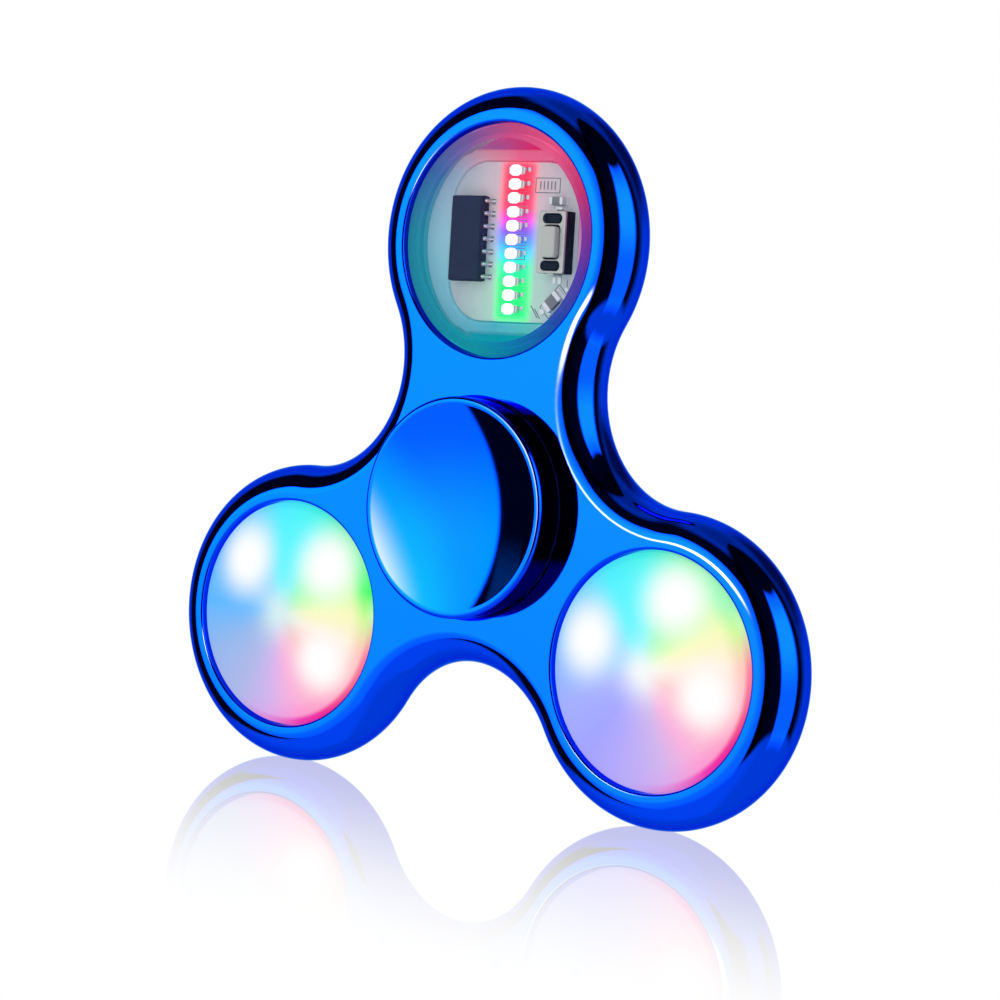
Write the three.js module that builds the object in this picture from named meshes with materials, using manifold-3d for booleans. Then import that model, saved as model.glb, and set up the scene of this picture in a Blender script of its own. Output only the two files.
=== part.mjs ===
// A light-up hand spinner: three round lobes that turn on a ball bearing between two finger caps.
// The top lobe holds a message board under a clear lens; the two lower lobes glow through frosted lenses.
// Millimetres. The spin axis is Y, the front faces -Y, and the message lobe points up, along +Z.
// The origin is the middle of the bearing.
import * as THREE from "three";
import { mergeVertices } from "three/addons/utils/BufferGeometryUtils.js";
import Module from "manifold-3d";

const wasm = await Module();
wasm.setup();

// ---- Driving dimensions -------------------------------------------------------------------------

// Body: a three-lobed plate with a full round edge.
const LOBE_COUNT = 3;
const LOBE_REACH = 26.95; // spin axis to the middle of a lobe
const LOBE_RADIUS = 15.6; // outside radius of a lobe
const WAIST_REACH = 15.7; // spin axis to the bottom of the hollow between two lobes
const BODY_THICKNESS = 7.0;

// Lens, lip and pocket of a lobe.
const LENS_RADIUS = 11.65;
const LENS_WALL = 0.9;
const LENS_RISE = 1.45; // crown over the rim
const LENS_THICKNESS = 1.7; // at the crown; the back of the crown is flat
const LENS_FLANGE_RADIUS = 12.35; // catches behind the lip
const LENS_FLANGE_THICKNESS = 0.7;
const BEZEL_DEPTH = 0.5; // slope from the face down to the lens
const LIP_THICKNESS = 0.9;
const LIP_GAP = 0.15; // round the lens
const POCKET_GAP = 0.15; // round the flange and the back cover
const BACK_COVER_STANDS_OUT = 0.6;
const BACK_COVER_FLAT = 8.5; // radius of the flat in the middle
const BACK_COVER_SKIRT = 2.2;
const BACK_COVER_SKIRT_WALL = 1.1;

// Boards, which lie in the middle plane of the body.
const BOARD_THICKNESS = 0.8;
const BOARD_FRONT = -0.25; // y of the face that carries the lights
const SEAT_GAP = 0.05; // between pieces that rest on each other
const MESSAGE_BOARD_WIDTH = 15.7;
const MESSAGE_BOARD_HEIGHT = 16.0;
const MESSAGE_BOARD_CORNER = 4.2;
const MESSAGE_TURN = 2; // degrees the board and tray sit off the lobe's own line
const TRAY_GAP = 0.2; // between the tray and the back cover's skirt
const TRAY_HEIGHT = 18.5; // between the tray's flat top and bottom
const TRAY_DEPTH = 3.35;
const TRAY_LIP = 0.25; // tray's front, past the front of the board
const GLOW_BOARD_GAP = 0.45; // between a round board and the back cover's skirt

// Message row: a line of small lights along the lobe's own radius.
const ROW_LIGHTS = 11;
const ROW_PITCH = 1.39;
const ROW_X = 0.15;
const ROW_RISE = 0.2; // the row's middle, above the board's own
const ROW_LIGHT = { width: 1.6, height: 0.8, depth: 0.6 };

// Controller, a 14-pin small-outline package.
const CHIP = { width: 3.9, height: 8.65, depth: 1.35, standoff: 0.15, x: -5.15, z: 0.2, pins: 7, pitch: 1.27 };
const CHIP_SPAN = 5.3; // over the pins
const PIN = { width: 0.42, thickness: 0.2, foot: 0.6 };

// Push switch, 3 mm by 6 mm.
const SWITCH = { width: 3.3, height: 6.2, depth: 1.3 };
const SWITCH_COVER_THICKNESS = 0.25;
const SWITCH_POST = { width: 2.2, height: 0.85, reach: 2.35, stands: 0.05 };
const BUTTON = { width: 1.7, height: 3.1, stands: 0.6, inside: 0.7 };
const BUTTON_GAP = 0.15; // round the button in its cover
const BUTTON_TRAVEL = 0.25;
const MESSAGE_SWITCH_X = 5.75;

// Small chip parts on the message board.
const CAPACITOR = { width: 1.6, height: 0.8, depth: 0.7, x: 5.4, z: 4.15, turn: 0 };
const RESISTOR = { width: 2.0, height: 1.2, depth: 0.5, x: 5.4, z: -5.85, turn: 45 };

// Glow lights: three corners of a square, with the controller on the fourth.
const GLOW_LIGHT = { side: 3.2, depth: 1.2 };
const GLOW_LIGHT_MARGIN = 1.3; // from a light's outer corner to the lens wall
const GLOW_LIGHT_ANGLES = [135, 45, -45];
const GLOW_CHIP_ANGLE = -135;
const GLOW_CHIP = { radius: 1.9, depth: 0.9 };

// Coin cell behind each board, with a bowed contact between them.
const CELL = { radius: 8.0, thickness: 1.9, rim: 0.4 };
const CELL_GAP = 0.15; // round the cell in its well
const CONTACT = { length: 8.0, width: 3.0, thickness: 0.15, bow: 0.3 };
const CONTACT_SPACE = 0.5; // from board to cell

// Bearing, the common 22 mm by 8 mm by 7 mm size.
const BEARING = { outside: 11.0, bore: 4.0, width: 7.0 };
const BALL_COUNT = 7;
const BALL_RADIUS = 1.985;
const BALL_GAP = 0.06; // to each race
const LAND_REACH = 1.45; // from the balls' pitch circle to each ring's land
const CAGE = { half: 0.9, back: 2.75, horns: 0.9, pocketGap: 0.14 };
const SHIELD_THICKNESS = 0.3;
const SHIELD_RECESS = 0.5; // step in the outer ring that holds the shield
const SHIELD_STEP = 0.55; // how far that step goes outside the land
const SHIELD_INNER_GAP = 0.3; // from the shield to the inner ring
const FIT_GAP = 0.05; // between pieces pressed together

// Finger caps. The back cap's pin fits the front cap's socket, inside the bearing's bore.
const CAP_OVERLAP = 0.1; // how far a cap reaches past the bearing
const CAP_STANDS_OUT = 3.35; // rim of the cap, past the face of the body
const CAP_CLEARANCE = 0.2; // between the cap and the turning body
const CAP_EDGE = 0.3; // round at the rim
const CAP_RIM = 0.5; // width of the flat rim
const CAP_DISH = 1.3; // depth of the dish in the middle
const CAP_SHOULDER_GAP = 0.25; // from the cap's shoulder to the edge of the inner ring
const CAP_CHAMFER = 0.15;
const PIN_RADIUS = 2.0;
const PIN_LENGTH = 3.0;
const SOCKET_GAP = 0.1;
const SPIGOT_GAP = 0.1; // between the two spigots

// Facets.
const ROUND = 32;
const FINE = 36;
const SMALL = 20;

// ---- Places that follow -------------------------------------------------------------------------

const FACE = BODY_THICKNESS / 2; // |y| of the body's faces
const LIP_UNDER = -(FACE - BEZEL_DEPTH - LIP_THICKNESS);
const LIP_RADIUS = LENS_RADIUS + LIP_GAP;
const POCKET_RADIUS = LENS_FLANGE_RADIUS + POCKET_GAP;
const FLANGE_FRONT = LIP_UNDER + SEAT_GAP;
const FLANGE_BACK = FLANGE_FRONT + LENS_FLANGE_THICKNESS;
const LENS_RIM_Y = -(FACE - BEZEL_DEPTH);
const CROWN_Y = LENS_RIM_Y - LENS_RISE;
const BOARD_BACK = BOARD_FRONT + BOARD_THICKNESS;
const CELL_FRONT = BOARD_BACK + CONTACT_SPACE;
const CELL_BACK = CELL_FRONT + CELL.thickness;
const COVER_CROWN_Y = FACE + BACK_COVER_STANDS_OUT;
const COVER_RADIUS = POCKET_RADIUS - POCKET_GAP;
const CAP_RIM_Y = FACE + CAP_STANDS_OUT;
const BALL_PITCH = (BEARING.outside + BEARING.bore) / 2;
const INNER_LAND = BALL_PITCH - LAND_REACH;
const OUTER_LAND = BALL_PITCH + LAND_REACH;
const CAP_RADIUS = BEARING.outside + CAP_OVERLAP;
const CAP_SHOULDER = INNER_LAND - CAP_SHOULDER_GAP;
const SWITCH_TOP = BOARD_FRONT - SWITCH.depth - SWITCH_COVER_THICKNESS;
const BUTTON_TOP = SWITCH_TOP - BUTTON.stands;
const LENS_INNER = LENS_RADIUS - LENS_WALL;
const SKIRT_INNER = COVER_RADIUS - BACK_COVER_SKIRT_WALL;
const TRAY_RADIUS = SKIRT_INNER - TRAY_GAP;
const GLOW_BOARD_RADIUS = SKIRT_INNER - GLOW_BOARD_GAP;
const GLOW_LIGHT_REACH = LENS_INNER - GLOW_LIGHT_MARGIN - GLOW_LIGHT.side / Math.SQRT2;

// ---- Helpers ------------------------------------------------------------------------------------

const radians = (degrees) => (degrees * Math.PI) / 180;

// A solid turned round the Y axis. The profile is [radius, y] pairs that start and end on the axis,
// or a closed loop; either way round will do.
function turned(profile, segments = ROUND) {
  const points = profile.map(([radius, y]) => new THREE.Vector2(radius, y));
  if (profile[0][0] > 0 || profile.at(-1)[0] > 0) points.push(points[0].clone());
  const area = THREE.ShapeUtils.area(points);
  if (area < 0) points.reverse();
  return new THREE.LatheGeometry(points, segments);
}

// Points of an arc from one angle to another, as [x, y] pairs.
function arc(x, y, radius, from, to, steps) {
  return Array.from({ length: steps + 1 }, (_, i) => {
    const angle = radians(from + ((to - from) * i) / steps);
    return [x + radius * Math.cos(angle), y + radius * Math.sin(angle)];
  });
}

// The points of a shallow dome from the axis out to a radius: its top at topY, its edge at edgeY.
function dome(radius, topY, edgeY, steps) {
  const rise = Math.abs(edgeY - topY);
  const sphere = (radius * radius + rise * rise) / (2 * rise);
  const side = Math.sign(edgeY - topY);
  return Array.from({ length: steps + 1 }, (_, i) => {
    const r = (radius * i) / steps;
    return [r, topY + side * (sphere - Math.sqrt(sphere * sphere - r * r))];
  });
}

function box(width, depth, height, x, y, z) {
  return new THREE.BoxGeometry(width, depth, height).translate(x, y, z);
}

// A flat plate of a Shape drawn in x and z, between two y levels.
function plate(shape, fromY, toY, curveSegments = 3) {
  const depth = toY - fromY;
  const geometry = new THREE.ExtrudeGeometry(shape, { depth, bevelEnabled: false, curveSegments });
  return geometry.rotateX(Math.PI / 2).translate(0, toY, 0);
}

function roundedRectangle(width, height, corner) {
  const [w, h, c] = [width / 2, height / 2, corner];
  const shape = new THREE.Shape();
  shape.absarc(w - c, h - c, c, 0, Math.PI / 2);
  shape.absarc(-w + c, h - c, c, Math.PI / 2, Math.PI);
  shape.absarc(-w + c, -h + c, c, Math.PI, 1.5 * Math.PI);
  shape.absarc(w - c, -h + c, c, 1.5 * Math.PI, 2 * Math.PI);
  shape.closePath();
  return shape;
}

// A circle with its top and bottom cut off flat.
function flattedCircle(radius, height) {
  const angle = Math.asin(height / 2 / radius);
  const shape = new THREE.Shape();
  shape.absarc(0, 0, radius, -angle, angle);
  shape.absarc(0, 0, radius, Math.PI - angle, Math.PI + angle);
  shape.closePath();
  return shape;
}

function solid(geometry) {
  const bare = geometry.index ? geometry.toNonIndexed() : geometry.clone();
  bare.deleteAttribute("normal");
  bare.deleteAttribute("uv");
  const merged = mergeVertices(bare, 1e-4);
  return new wasm.Manifold(
    new wasm.Mesh({
      numProp: 3,
      vertProperties: merged.attributes.position.array,
      triVerts: new Uint32Array(merged.index.array),
    }),
  );
}

function fromSolid(made) {
  const mesh = made.getMesh();
  const geometry = new THREE.BufferGeometry();
  geometry.setAttribute("position", new THREE.BufferAttribute(mesh.vertProperties, 3));
  geometry.setIndex(new THREE.BufferAttribute(mesh.triVerts, 1));
  geometry.computeVertexNormals();
  return geometry;
}

const cut = (geometry, ...tools) =>
  fromSolid(tools.reduce((left, tool) => left.subtract(solid(tool)), solid(geometry)));

const join = (geometry, ...others) =>
  fromSolid(others.reduce((whole, other) => whole.add(solid(other)), solid(geometry)));

// ---- Materials ----------------------------------------------------------------------------------

const material = (color, roughness, metalness = 0) =>
  new THREE.MeshStandardMaterial({ color, roughness, metalness });

const bluePlating = material("#0a46e8", 0.08, 1);
const bearingSteel = material("#b9bcc0", 0.2, 1);
const cageNylon = material("#ece8dc", 0.5);
const clearPlastic = new THREE.MeshStandardMaterial({
  color: "#dff0f4",
  roughness: 0.05,
  transparent: true,
  opacity: 0.3,
});
const frostedPlastic = material("#f4f3fb", 0.35);
const whitePlastic = material("#eceeec", 0.45);
const boardWhite = material("#dfe3df", 0.4);
const chipBlack = material("#2b3142", 0.45);
const switchBlack = material("#20242c", 0.5);
const switchSteel = material("#c8cac6", 0.3, 1);
const buttonGrey = material("#d7dad4", 0.5);
const cellSteel = material("#c3c6c8", 0.22, 1);
const contactBronze = material("#c9a25a", 0.3, 1);
const partBrown = material("#8d7b62", 0.5);
const lit = (color) =>
  new THREE.MeshStandardMaterial({ color, emissive: color, emissiveIntensity: 1, roughness: 0.3 });

// ---- The object ---------------------------------------------------------------------------------

const spinner = new THREE.Group();

function add(group, name, geometry, finish) {
  const mesh = new THREE.Mesh(geometry, finish);
  mesh.name = name;
  group.add(mesh);
  return mesh;
}

// Where a lobe's middle is: lobe 0 points up, the others follow a third of a turn apart.
const lobeAngle = (lobe) => 90 + (360 / LOBE_COUNT) * lobe;

function lobeGroup(lobe) {
  const group = new THREE.Group();
  const angle = radians(lobeAngle(lobe));
  group.position.set(LOBE_REACH * Math.cos(angle), 0, LOBE_REACH * Math.sin(angle));
  spinner.add(group);
  return group;
}

// ---- Body frame ---------------------------------------------------------------------------------

// Radius and reach of the hollow arcs, each tangent to the lobes on both sides of it.
const HOLLOW_RADIUS =
  (LOBE_REACH ** 2 + WAIST_REACH ** 2 - LOBE_REACH * WAIST_REACH - LOBE_RADIUS ** 2) /
  (2 * LOBE_RADIUS - 2 * WAIST_REACH + LOBE_REACH);
const HOLLOW_REACH = WAIST_REACH + HOLLOW_RADIUS;
const LOBE_STEPS = 18;
const HOLLOW_STEPS = 6;
const EDGE_STEPS = 8;

// The body's outline in x and z, moved inwards by inset.
function bodyOutline(inset) {
  const points = [];
  const third = 360 / LOBE_COUNT;
  // Angle at the lobe's middle, from its own direction to the point where a hollow takes over.
  const dx = HOLLOW_REACH * Math.cos(radians(third / 2)) - LOBE_REACH;
  const dz = HOLLOW_REACH * Math.sin(radians(third / 2));
  const tangent = (Math.atan2(dz, dx) * 180) / Math.PI;
  for (let lobe = 0; lobe < LOBE_COUNT; lobe++) {
    const angle = lobeAngle(lobe);
    const [x, z] = [LOBE_REACH * Math.cos(radians(angle)), LOBE_REACH * Math.sin(radians(angle))];
    points.push(...arc(x, z, LOBE_RADIUS - inset, angle - tangent, angle + tangent, LOBE_STEPS));
    const middle = angle + third / 2;
    const [hx, hz] = [HOLLOW_REACH * Math.cos(radians(middle)), HOLLOW_REACH * Math.sin(radians(middle))];
    const from = angle + tangent + 180;
    const to = 2 * middle + 180 - (angle + tangent);
    const hollow = arc(hx, hz, HOLLOW_RADIUS + inset, from, to, HOLLOW_STEPS);
    points.push(...hollow.slice(1, -1));
  }
  return points;
}

// The plate with its round edge: one outline per level, joined side by side and closed flat.
function roundedPlate() {
  const half = BODY_THICKNESS / 2;
  const levels = Array.from({ length: EDGE_STEPS + 1 }, (_, i) => {
    const angle = radians(-90 + (180 * i) / EDGE_STEPS);
    return { y: half * Math.sin(angle), outline: bodyOutline(half * (1 - Math.cos(angle))) };
  });
  const count = levels[0].outline.length;
  const positions = levels.flatMap(({ y, outline }) => outline.flatMap(([x, z]) => [x, y, z]));
  const index = [];
  for (let level = 0; level < EDGE_STEPS; level++) {
    for (let i = 0; i < count; i++) {
      const [a, b] = [level * count + i, level * count + ((i + 1) % count)];
      index.push(a, a + count, b, b, a + count, b + count);
    }
  }
  const contour = levels[0].outline.map(([x, z]) => new THREE.Vector2(x, z));
  const last = EDGE_STEPS * count;
  for (const [a, b, c] of THREE.ShapeUtils.triangulateShape(contour, [])) {
    index.push(a, b, c);
    index.push(last + a, last + c, last + b);
  }
  const geometry = new THREE.BufferGeometry();
  geometry.setAttribute("position", new THREE.Float32BufferAttribute(positions, 3));
  geometry.setIndex(index);
  return geometry;
}

// What a lobe's pocket takes out of the plate: bezel slope, lip hole, and the well behind them.
function pocketTool(lobe) {
  const beyond = FACE + 2;
  const angle = radians(lobeAngle(lobe));
  const bezel = LIP_RADIUS + BEZEL_DEPTH;
  return turned([
    [0, -beyond],
    [bezel, -beyond],
    [bezel, -FACE],
    [LIP_RADIUS, -FACE + BEZEL_DEPTH],
    [LIP_RADIUS, LIP_UNDER],
    [POCKET_RADIUS, LIP_UNDER],
    [POCKET_RADIUS, beyond],
    [0, beyond],
  ]).translate(LOBE_REACH * Math.cos(angle), 0, LOBE_REACH * Math.sin(angle));
}

const bearingSeat = new THREE.CylinderGeometry(
  BEARING.outside + FIT_GAP,
  BEARING.outside + FIT_GAP,
  BODY_THICKNESS + 2,
  ROUND,
);
const pockets = Array.from({ length: LOBE_COUNT }, (_, lobe) => pocketTool(lobe));
add(spinner, "body_frame", cut(roundedPlate(), bearingSeat, ...pockets), bluePlating);

// ---- Bearing ------------------------------------------------------------------------------------

const RACE_RADIUS = BALL_RADIUS + BALL_GAP;
const BEARING_FACE = BEARING.width / 2;

// Arc of a race groove, from one land edge to the other. side is 1 for the outer ring, -1 for the inner.
function raceGroove(land, side) {
  const reach = (land - BALL_PITCH) * side;
  const half = (Math.acos(reach / RACE_RADIUS) * 180) / Math.PI;
  const middle = side > 0 ? 0 : 180;
  return arc(BALL_PITCH, 0, RACE_RADIUS, middle - half * side, middle + half * side, 5);
}

add(
  spinner,
  "bearing_outer_ring",
  turned([
    [BEARING.outside, -BEARING_FACE],
    [OUTER_LAND + SHIELD_STEP, -BEARING_FACE],
    [OUTER_LAND + SHIELD_STEP, -BEARING_FACE + SHIELD_RECESS],
    [OUTER_LAND, -BEARING_FACE + SHIELD_RECESS],
    ...raceGroove(OUTER_LAND, 1),
    [OUTER_LAND, BEARING_FACE - SHIELD_RECESS],
    [OUTER_LAND + SHIELD_STEP, BEARING_FACE - SHIELD_RECESS],
    [OUTER_LAND + SHIELD_STEP, BEARING_FACE],
    [BEARING.outside, BEARING_FACE],
  ]),
  bearingSteel,
);

add(
  spinner,
  "bearing_inner_ring",
  turned([
    [BEARING.bore, -BEARING_FACE],
    [INNER_LAND, -BEARING_FACE],
    ...raceGroove(INNER_LAND, -1),
    [INNER_LAND, BEARING_FACE],
    [BEARING.bore, BEARING_FACE],
  ]),
  bearingSteel,
);

const ballPlaces = Array.from({ length: BALL_COUNT }, (_, i) => {
  const angle = radians(90 + (360 * i) / BALL_COUNT);
  return [BALL_PITCH * Math.cos(angle), BALL_PITCH * Math.sin(angle)];
});

ballPlaces.forEach(([x, z], i) => {
  const ball = new THREE.SphereGeometry(BALL_RADIUS, 10, 6).translate(x, 0, z);
  add(spinner, `bearing_ball_${i + 1}`, ball, bearingSteel);
});

// A crown cage: a ring behind the balls, with horns between them.
const cageBand = turned([
  [BALL_PITCH - CAGE.half, -CAGE.horns],
  [BALL_PITCH + CAGE.half, -CAGE.horns],
  [BALL_PITCH + CAGE.half, CAGE.back],
  [BALL_PITCH - CAGE.half, CAGE.back],
]);
const ballPockets = ballPlaces.map(([x, z]) =>
  new THREE.SphereGeometry(BALL_RADIUS + CAGE.pocketGap, 10, 6).translate(x, 0, z),
);
add(spinner, "bearing_cage", cut(cageBand, ...ballPockets), cageNylon);

// One shield on each side, held in the step of the outer ring.
for (const [name, side] of [["bearing_shield_front", -1], ["bearing_shield_back", 1]]) {
  const near = BEARING_FACE - SHIELD_RECESS + FIT_GAP;
  const [inner, outer] = [
    INNER_LAND + SHIELD_INNER_GAP,
    OUTER_LAND + SHIELD_STEP - FIT_GAP,
  ];
  const ring = turned([
    [inner, side * near],
    [outer, side * near],
    [outer, side * (near + SHIELD_THICKNESS)],
    [inner, side * (near + SHIELD_THICKNESS)],
  ]);
  add(spinner, name, ring, bearingSteel);
}

// ---- Finger caps --------------------------------------------------------------------------------

// Outside of a cap in front of the bearing, from the middle of the dish to the spigot.
function capProfile() {
  const under = FACE + CAP_CLEARANCE;
  const flat = CAP_RADIUS - CAP_EDGE;
  const edge = arc(flat, CAP_RIM_Y - CAP_EDGE, CAP_EDGE, 90, 0, 2);
  return [
    ...dome(flat - CAP_RIM, CAP_RIM_Y - CAP_DISH, CAP_RIM_Y, 6),
    ...edge,
    [CAP_RADIUS, under + CAP_CHAMFER],
    [CAP_RADIUS - CAP_CHAMFER, under],
    [CAP_SHOULDER, under],
    [CAP_SHOULDER, BEARING_FACE + FIT_GAP],
    [BEARING.bore - FIT_GAP, BEARING_FACE + FIT_GAP],
    [BEARING.bore - FIT_GAP, SPIGOT_GAP],
  ];
}

const toFront = (profile) => profile.map(([radius, y]) => [radius, -y]);
const socket = PIN_RADIUS + SOCKET_GAP;
const socketDepth = PIN_LENGTH + SPIGOT_GAP + 0.3;

add(
  spinner,
  "finger_cap_front",
  turned(
    toFront([...capProfile(), [socket, SPIGOT_GAP], [socket, socketDepth], [0, socketDepth]]),
    FINE,
  ),
  bluePlating,
);
add(
  spinner,
  "finger_cap_back",
  turned([...capProfile(), [PIN_RADIUS, SPIGOT_GAP], [PIN_RADIUS, -PIN_LENGTH], [0, -PIN_LENGTH]], FINE),
  bluePlating,
);

// ---- Pieces that every lobe has -----------------------------------------------------------------

// The lens: a crowned cup whose flange catches behind the lip. Pressed in, it pushes the switch.
function lensGeometry() {
  const edge = 0.2;
  const ceiling = CROWN_Y + LENS_THICKNESS;
  return turned([
    ...dome(LENS_RADIUS - edge, CROWN_Y, LENS_RIM_Y, 5),
    [LENS_RADIUS, LENS_RIM_Y + edge],
    [LENS_RADIUS, FLANGE_FRONT],
    [LENS_FLANGE_RADIUS, FLANGE_FRONT],
    [LENS_FLANGE_RADIUS, FLANGE_BACK],
    [LENS_INNER, FLANGE_BACK],
    [LENS_INNER, ceiling],
    [0, ceiling],
  ]);
}

// The back cover: a cap with a flat middle, a skirt that snaps into the pocket and a notch to prise
// it out. Under a glow board it also has a ring that holds the cell and carries the board.
function backCoverGeometry(withHolder) {
  const round = COVER_CROWN_Y - FACE;
  const side = [
    [0, COVER_CROWN_Y],
    [BACK_COVER_FLAT, COVER_CROWN_Y],
    [(BACK_COVER_FLAT + COVER_RADIUS) / 2, COVER_CROWN_Y - round / 5],
    [COVER_RADIUS - round / 2, COVER_CROWN_Y - round / 2],
    [COVER_RADIUS, FACE],
    [COVER_RADIUS, FACE - BACK_COVER_SKIRT],
    [SKIRT_INNER, FACE - BACK_COVER_SKIRT],
  ];
  const ceiling = CELL_BACK + SEAT_GAP;
  const holder = withHolder
    ? [
        [SKIRT_INNER, ceiling],
        [CELL.radius + CELL_GAP + 1.2, ceiling],
        [CELL.radius + CELL_GAP + 1.2, BOARD_BACK + SEAT_GAP],
        [CELL.radius + CELL_GAP, BOARD_BACK + SEAT_GAP],
        [CELL.radius + CELL_GAP, ceiling],
      ]
    : [[SKIRT_INNER, ceiling]];
  const cup = turned([...side, ...holder, [0, ceiling]]);
  const notch = box(4, 1.0, 1.2, 0, FACE + 0.2, -COVER_RADIUS);
  return cut(cup, notch);
}

function switchBody(x) {
  const base = box(SWITCH.width, SWITCH.depth, SWITCH.height, x, BOARD_FRONT - SWITCH.depth / 2, 0);
  const top = SWITCH_TOP - SWITCH_POST.stands;
  const posts = [-1, 1].map((side) => {
    const shape = roundedRectangle(SWITCH_POST.width, SWITCH_POST.height, 0.4);
    return plate(shape, top, BOARD_FRONT - 0.5, 2).translate(x, 0, side * SWITCH_POST.reach);
  });
  const well = box(
    BUTTON.width + 2 * BUTTON_GAP,
    BUTTON.inside + BUTTON_TRAVEL + 1,
    BUTTON.height + 2 * BUTTON_GAP,
    x,
    BOARD_FRONT - SWITCH.depth + (BUTTON.inside + BUTTON_TRAVEL + 1) / 2 - 1 + BUTTON_GAP,
    0,
  );
  return fromSolid(solid(join(base, ...posts)).subtract(solid(well)));
}

function switchButton(x) {
  const inside = BOARD_FRONT - SWITCH.depth + BUTTON.inside;
  return plate(roundedRectangle(BUTTON.width, BUTTON.height, 0.35), BUTTON_TOP, inside, 2).translate(
    x,
    0,
    0,
  );
}

function cellGeometry() {
  const rim = CELL.rim;
  return turned([
    [0, CELL_FRONT],
    [CELL.radius - 2 * rim, CELL_FRONT],
    [CELL.radius - rim, CELL_FRONT + rim / 2],
    [CELL.radius, CELL_FRONT + rim],
    [CELL.radius, CELL_BACK - rim],
    [CELL.radius - rim, CELL_BACK],
    [0, CELL_BACK],
  ], SMALL);
}

// A strip bowed between the board and the cell.
function contactGeometry() {
  const steps = 6;
  const bow = (i) => CONTACT.bow * Math.sin((Math.PI * i) / steps);
  const near = BOARD_BACK + SEAT_GAP / 2;
  const at = (i) => -CONTACT.length / 2 + (CONTACT.length * i) / steps;
  const shape = new THREE.Shape();
  shape.moveTo(at(0), near);
  for (let i = 1; i <= steps; i++) shape.lineTo(at(i), near + bow(i));
  for (let i = steps; i >= 0; i--) shape.lineTo(at(i), near + bow(i) + CONTACT.thickness);
  shape.closePath();
  return new THREE.ExtrudeGeometry(shape, { depth: CONTACT.width, bevelEnabled: false })
    .translate(0, 0, -CONTACT.width / 2);
}

// The pieces of a lobe that don't depend on what it shows. board is the group that turns with the
// lobe's board.
function addCommon(lobe, board, prefix, { lens, switchX, withHolder }) {
  add(lobe, `${prefix}_lens`, lensGeometry(), lens);
  add(board, `${prefix}_switch_body`, switchBody(switchX), switchBlack);
  add(board, `${prefix}_switch_button`, switchButton(switchX), buttonGrey);
  add(board, `${prefix}_cell`, cellGeometry(), cellSteel);
  add(board, `${prefix}_contact`, contactGeometry(), contactBronze);
  add(lobe, `${prefix}_back_cover`, backCoverGeometry(withHolder), whitePlastic);
}

function turnedGroup(lobe, degrees) {
  const group = new THREE.Group();
  group.rotation.y = -radians(degrees);
  lobe.add(group);
  return group;
}

// ---- Message lobe -------------------------------------------------------------------------------

const messageLobe = lobeGroup(0);
const message = turnedGroup(messageLobe, MESSAGE_TURN);
addCommon(messageLobe, message, "message", {
  lens: clearPlastic,
  switchX: MESSAGE_SWITCH_X,
  withHolder: false,
});

const boardShape = roundedRectangle(MESSAGE_BOARD_WIDTH, MESSAGE_BOARD_HEIGHT, MESSAGE_BOARD_CORNER);
add(message, "message_board", plate(boardShape, BOARD_FRONT, BOARD_BACK), boardWhite);

// The tray holds the board in front and the cell behind, with a window between for the contact.
function trayGeometry() {
  const front = BOARD_FRONT - TRAY_LIP;
  const block = plate(flattedCircle(TRAY_RADIUS, TRAY_HEIGHT), front, front + TRAY_DEPTH, 8);
  const boardWell = plate(
    roundedRectangle(
      MESSAGE_BOARD_WIDTH + 2 * CELL_GAP,
      MESSAGE_BOARD_HEIGHT + 2 * CELL_GAP,
      MESSAGE_BOARD_CORNER + CELL_GAP,
    ),
    front - 1,
    BOARD_BACK + SEAT_GAP,
  );
  const cellRadius = CELL.radius + CELL_GAP;
  const cellWell = new THREE.CylinderGeometry(cellRadius, cellRadius, 4, ROUND)
    .translate(0, CELL_FRONT - SEAT_GAP + 2, 0);
  const window = box(CONTACT.length + 0.6, 3, CONTACT.width + 0.6, 0, BOARD_BACK, 0);
  return cut(block, boardWell, cellWell, window);
}
add(message, "message_tray", trayGeometry(), whitePlastic);

// The row of lights, red at the outer end, through violet and blue, to green at the inner end.
const ROW_COLOURS = [
  "#ff2a1c", "#ff2a1c", "#ff2430", "#ff1f4a", "#e01fd0", "#6a3cff", "#1f8cff", "#12d0ff",
  "#12f09a", "#12ff5c", "#12ff4a",
];
for (let i = 0; i < ROW_LIGHTS; i++) {
  const z = ROW_RISE + (ROW_PITCH * (ROW_LIGHTS - 1)) / 2 - ROW_PITCH * i;
  const { width, depth, height } = ROW_LIGHT;
  const body = box(width, depth, height, ROW_X, BOARD_FRONT - depth / 2, z);
  add(message, `message_led_${i + 1}`, body, lit(ROW_COLOURS[i % ROW_COLOURS.length]));
}

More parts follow.
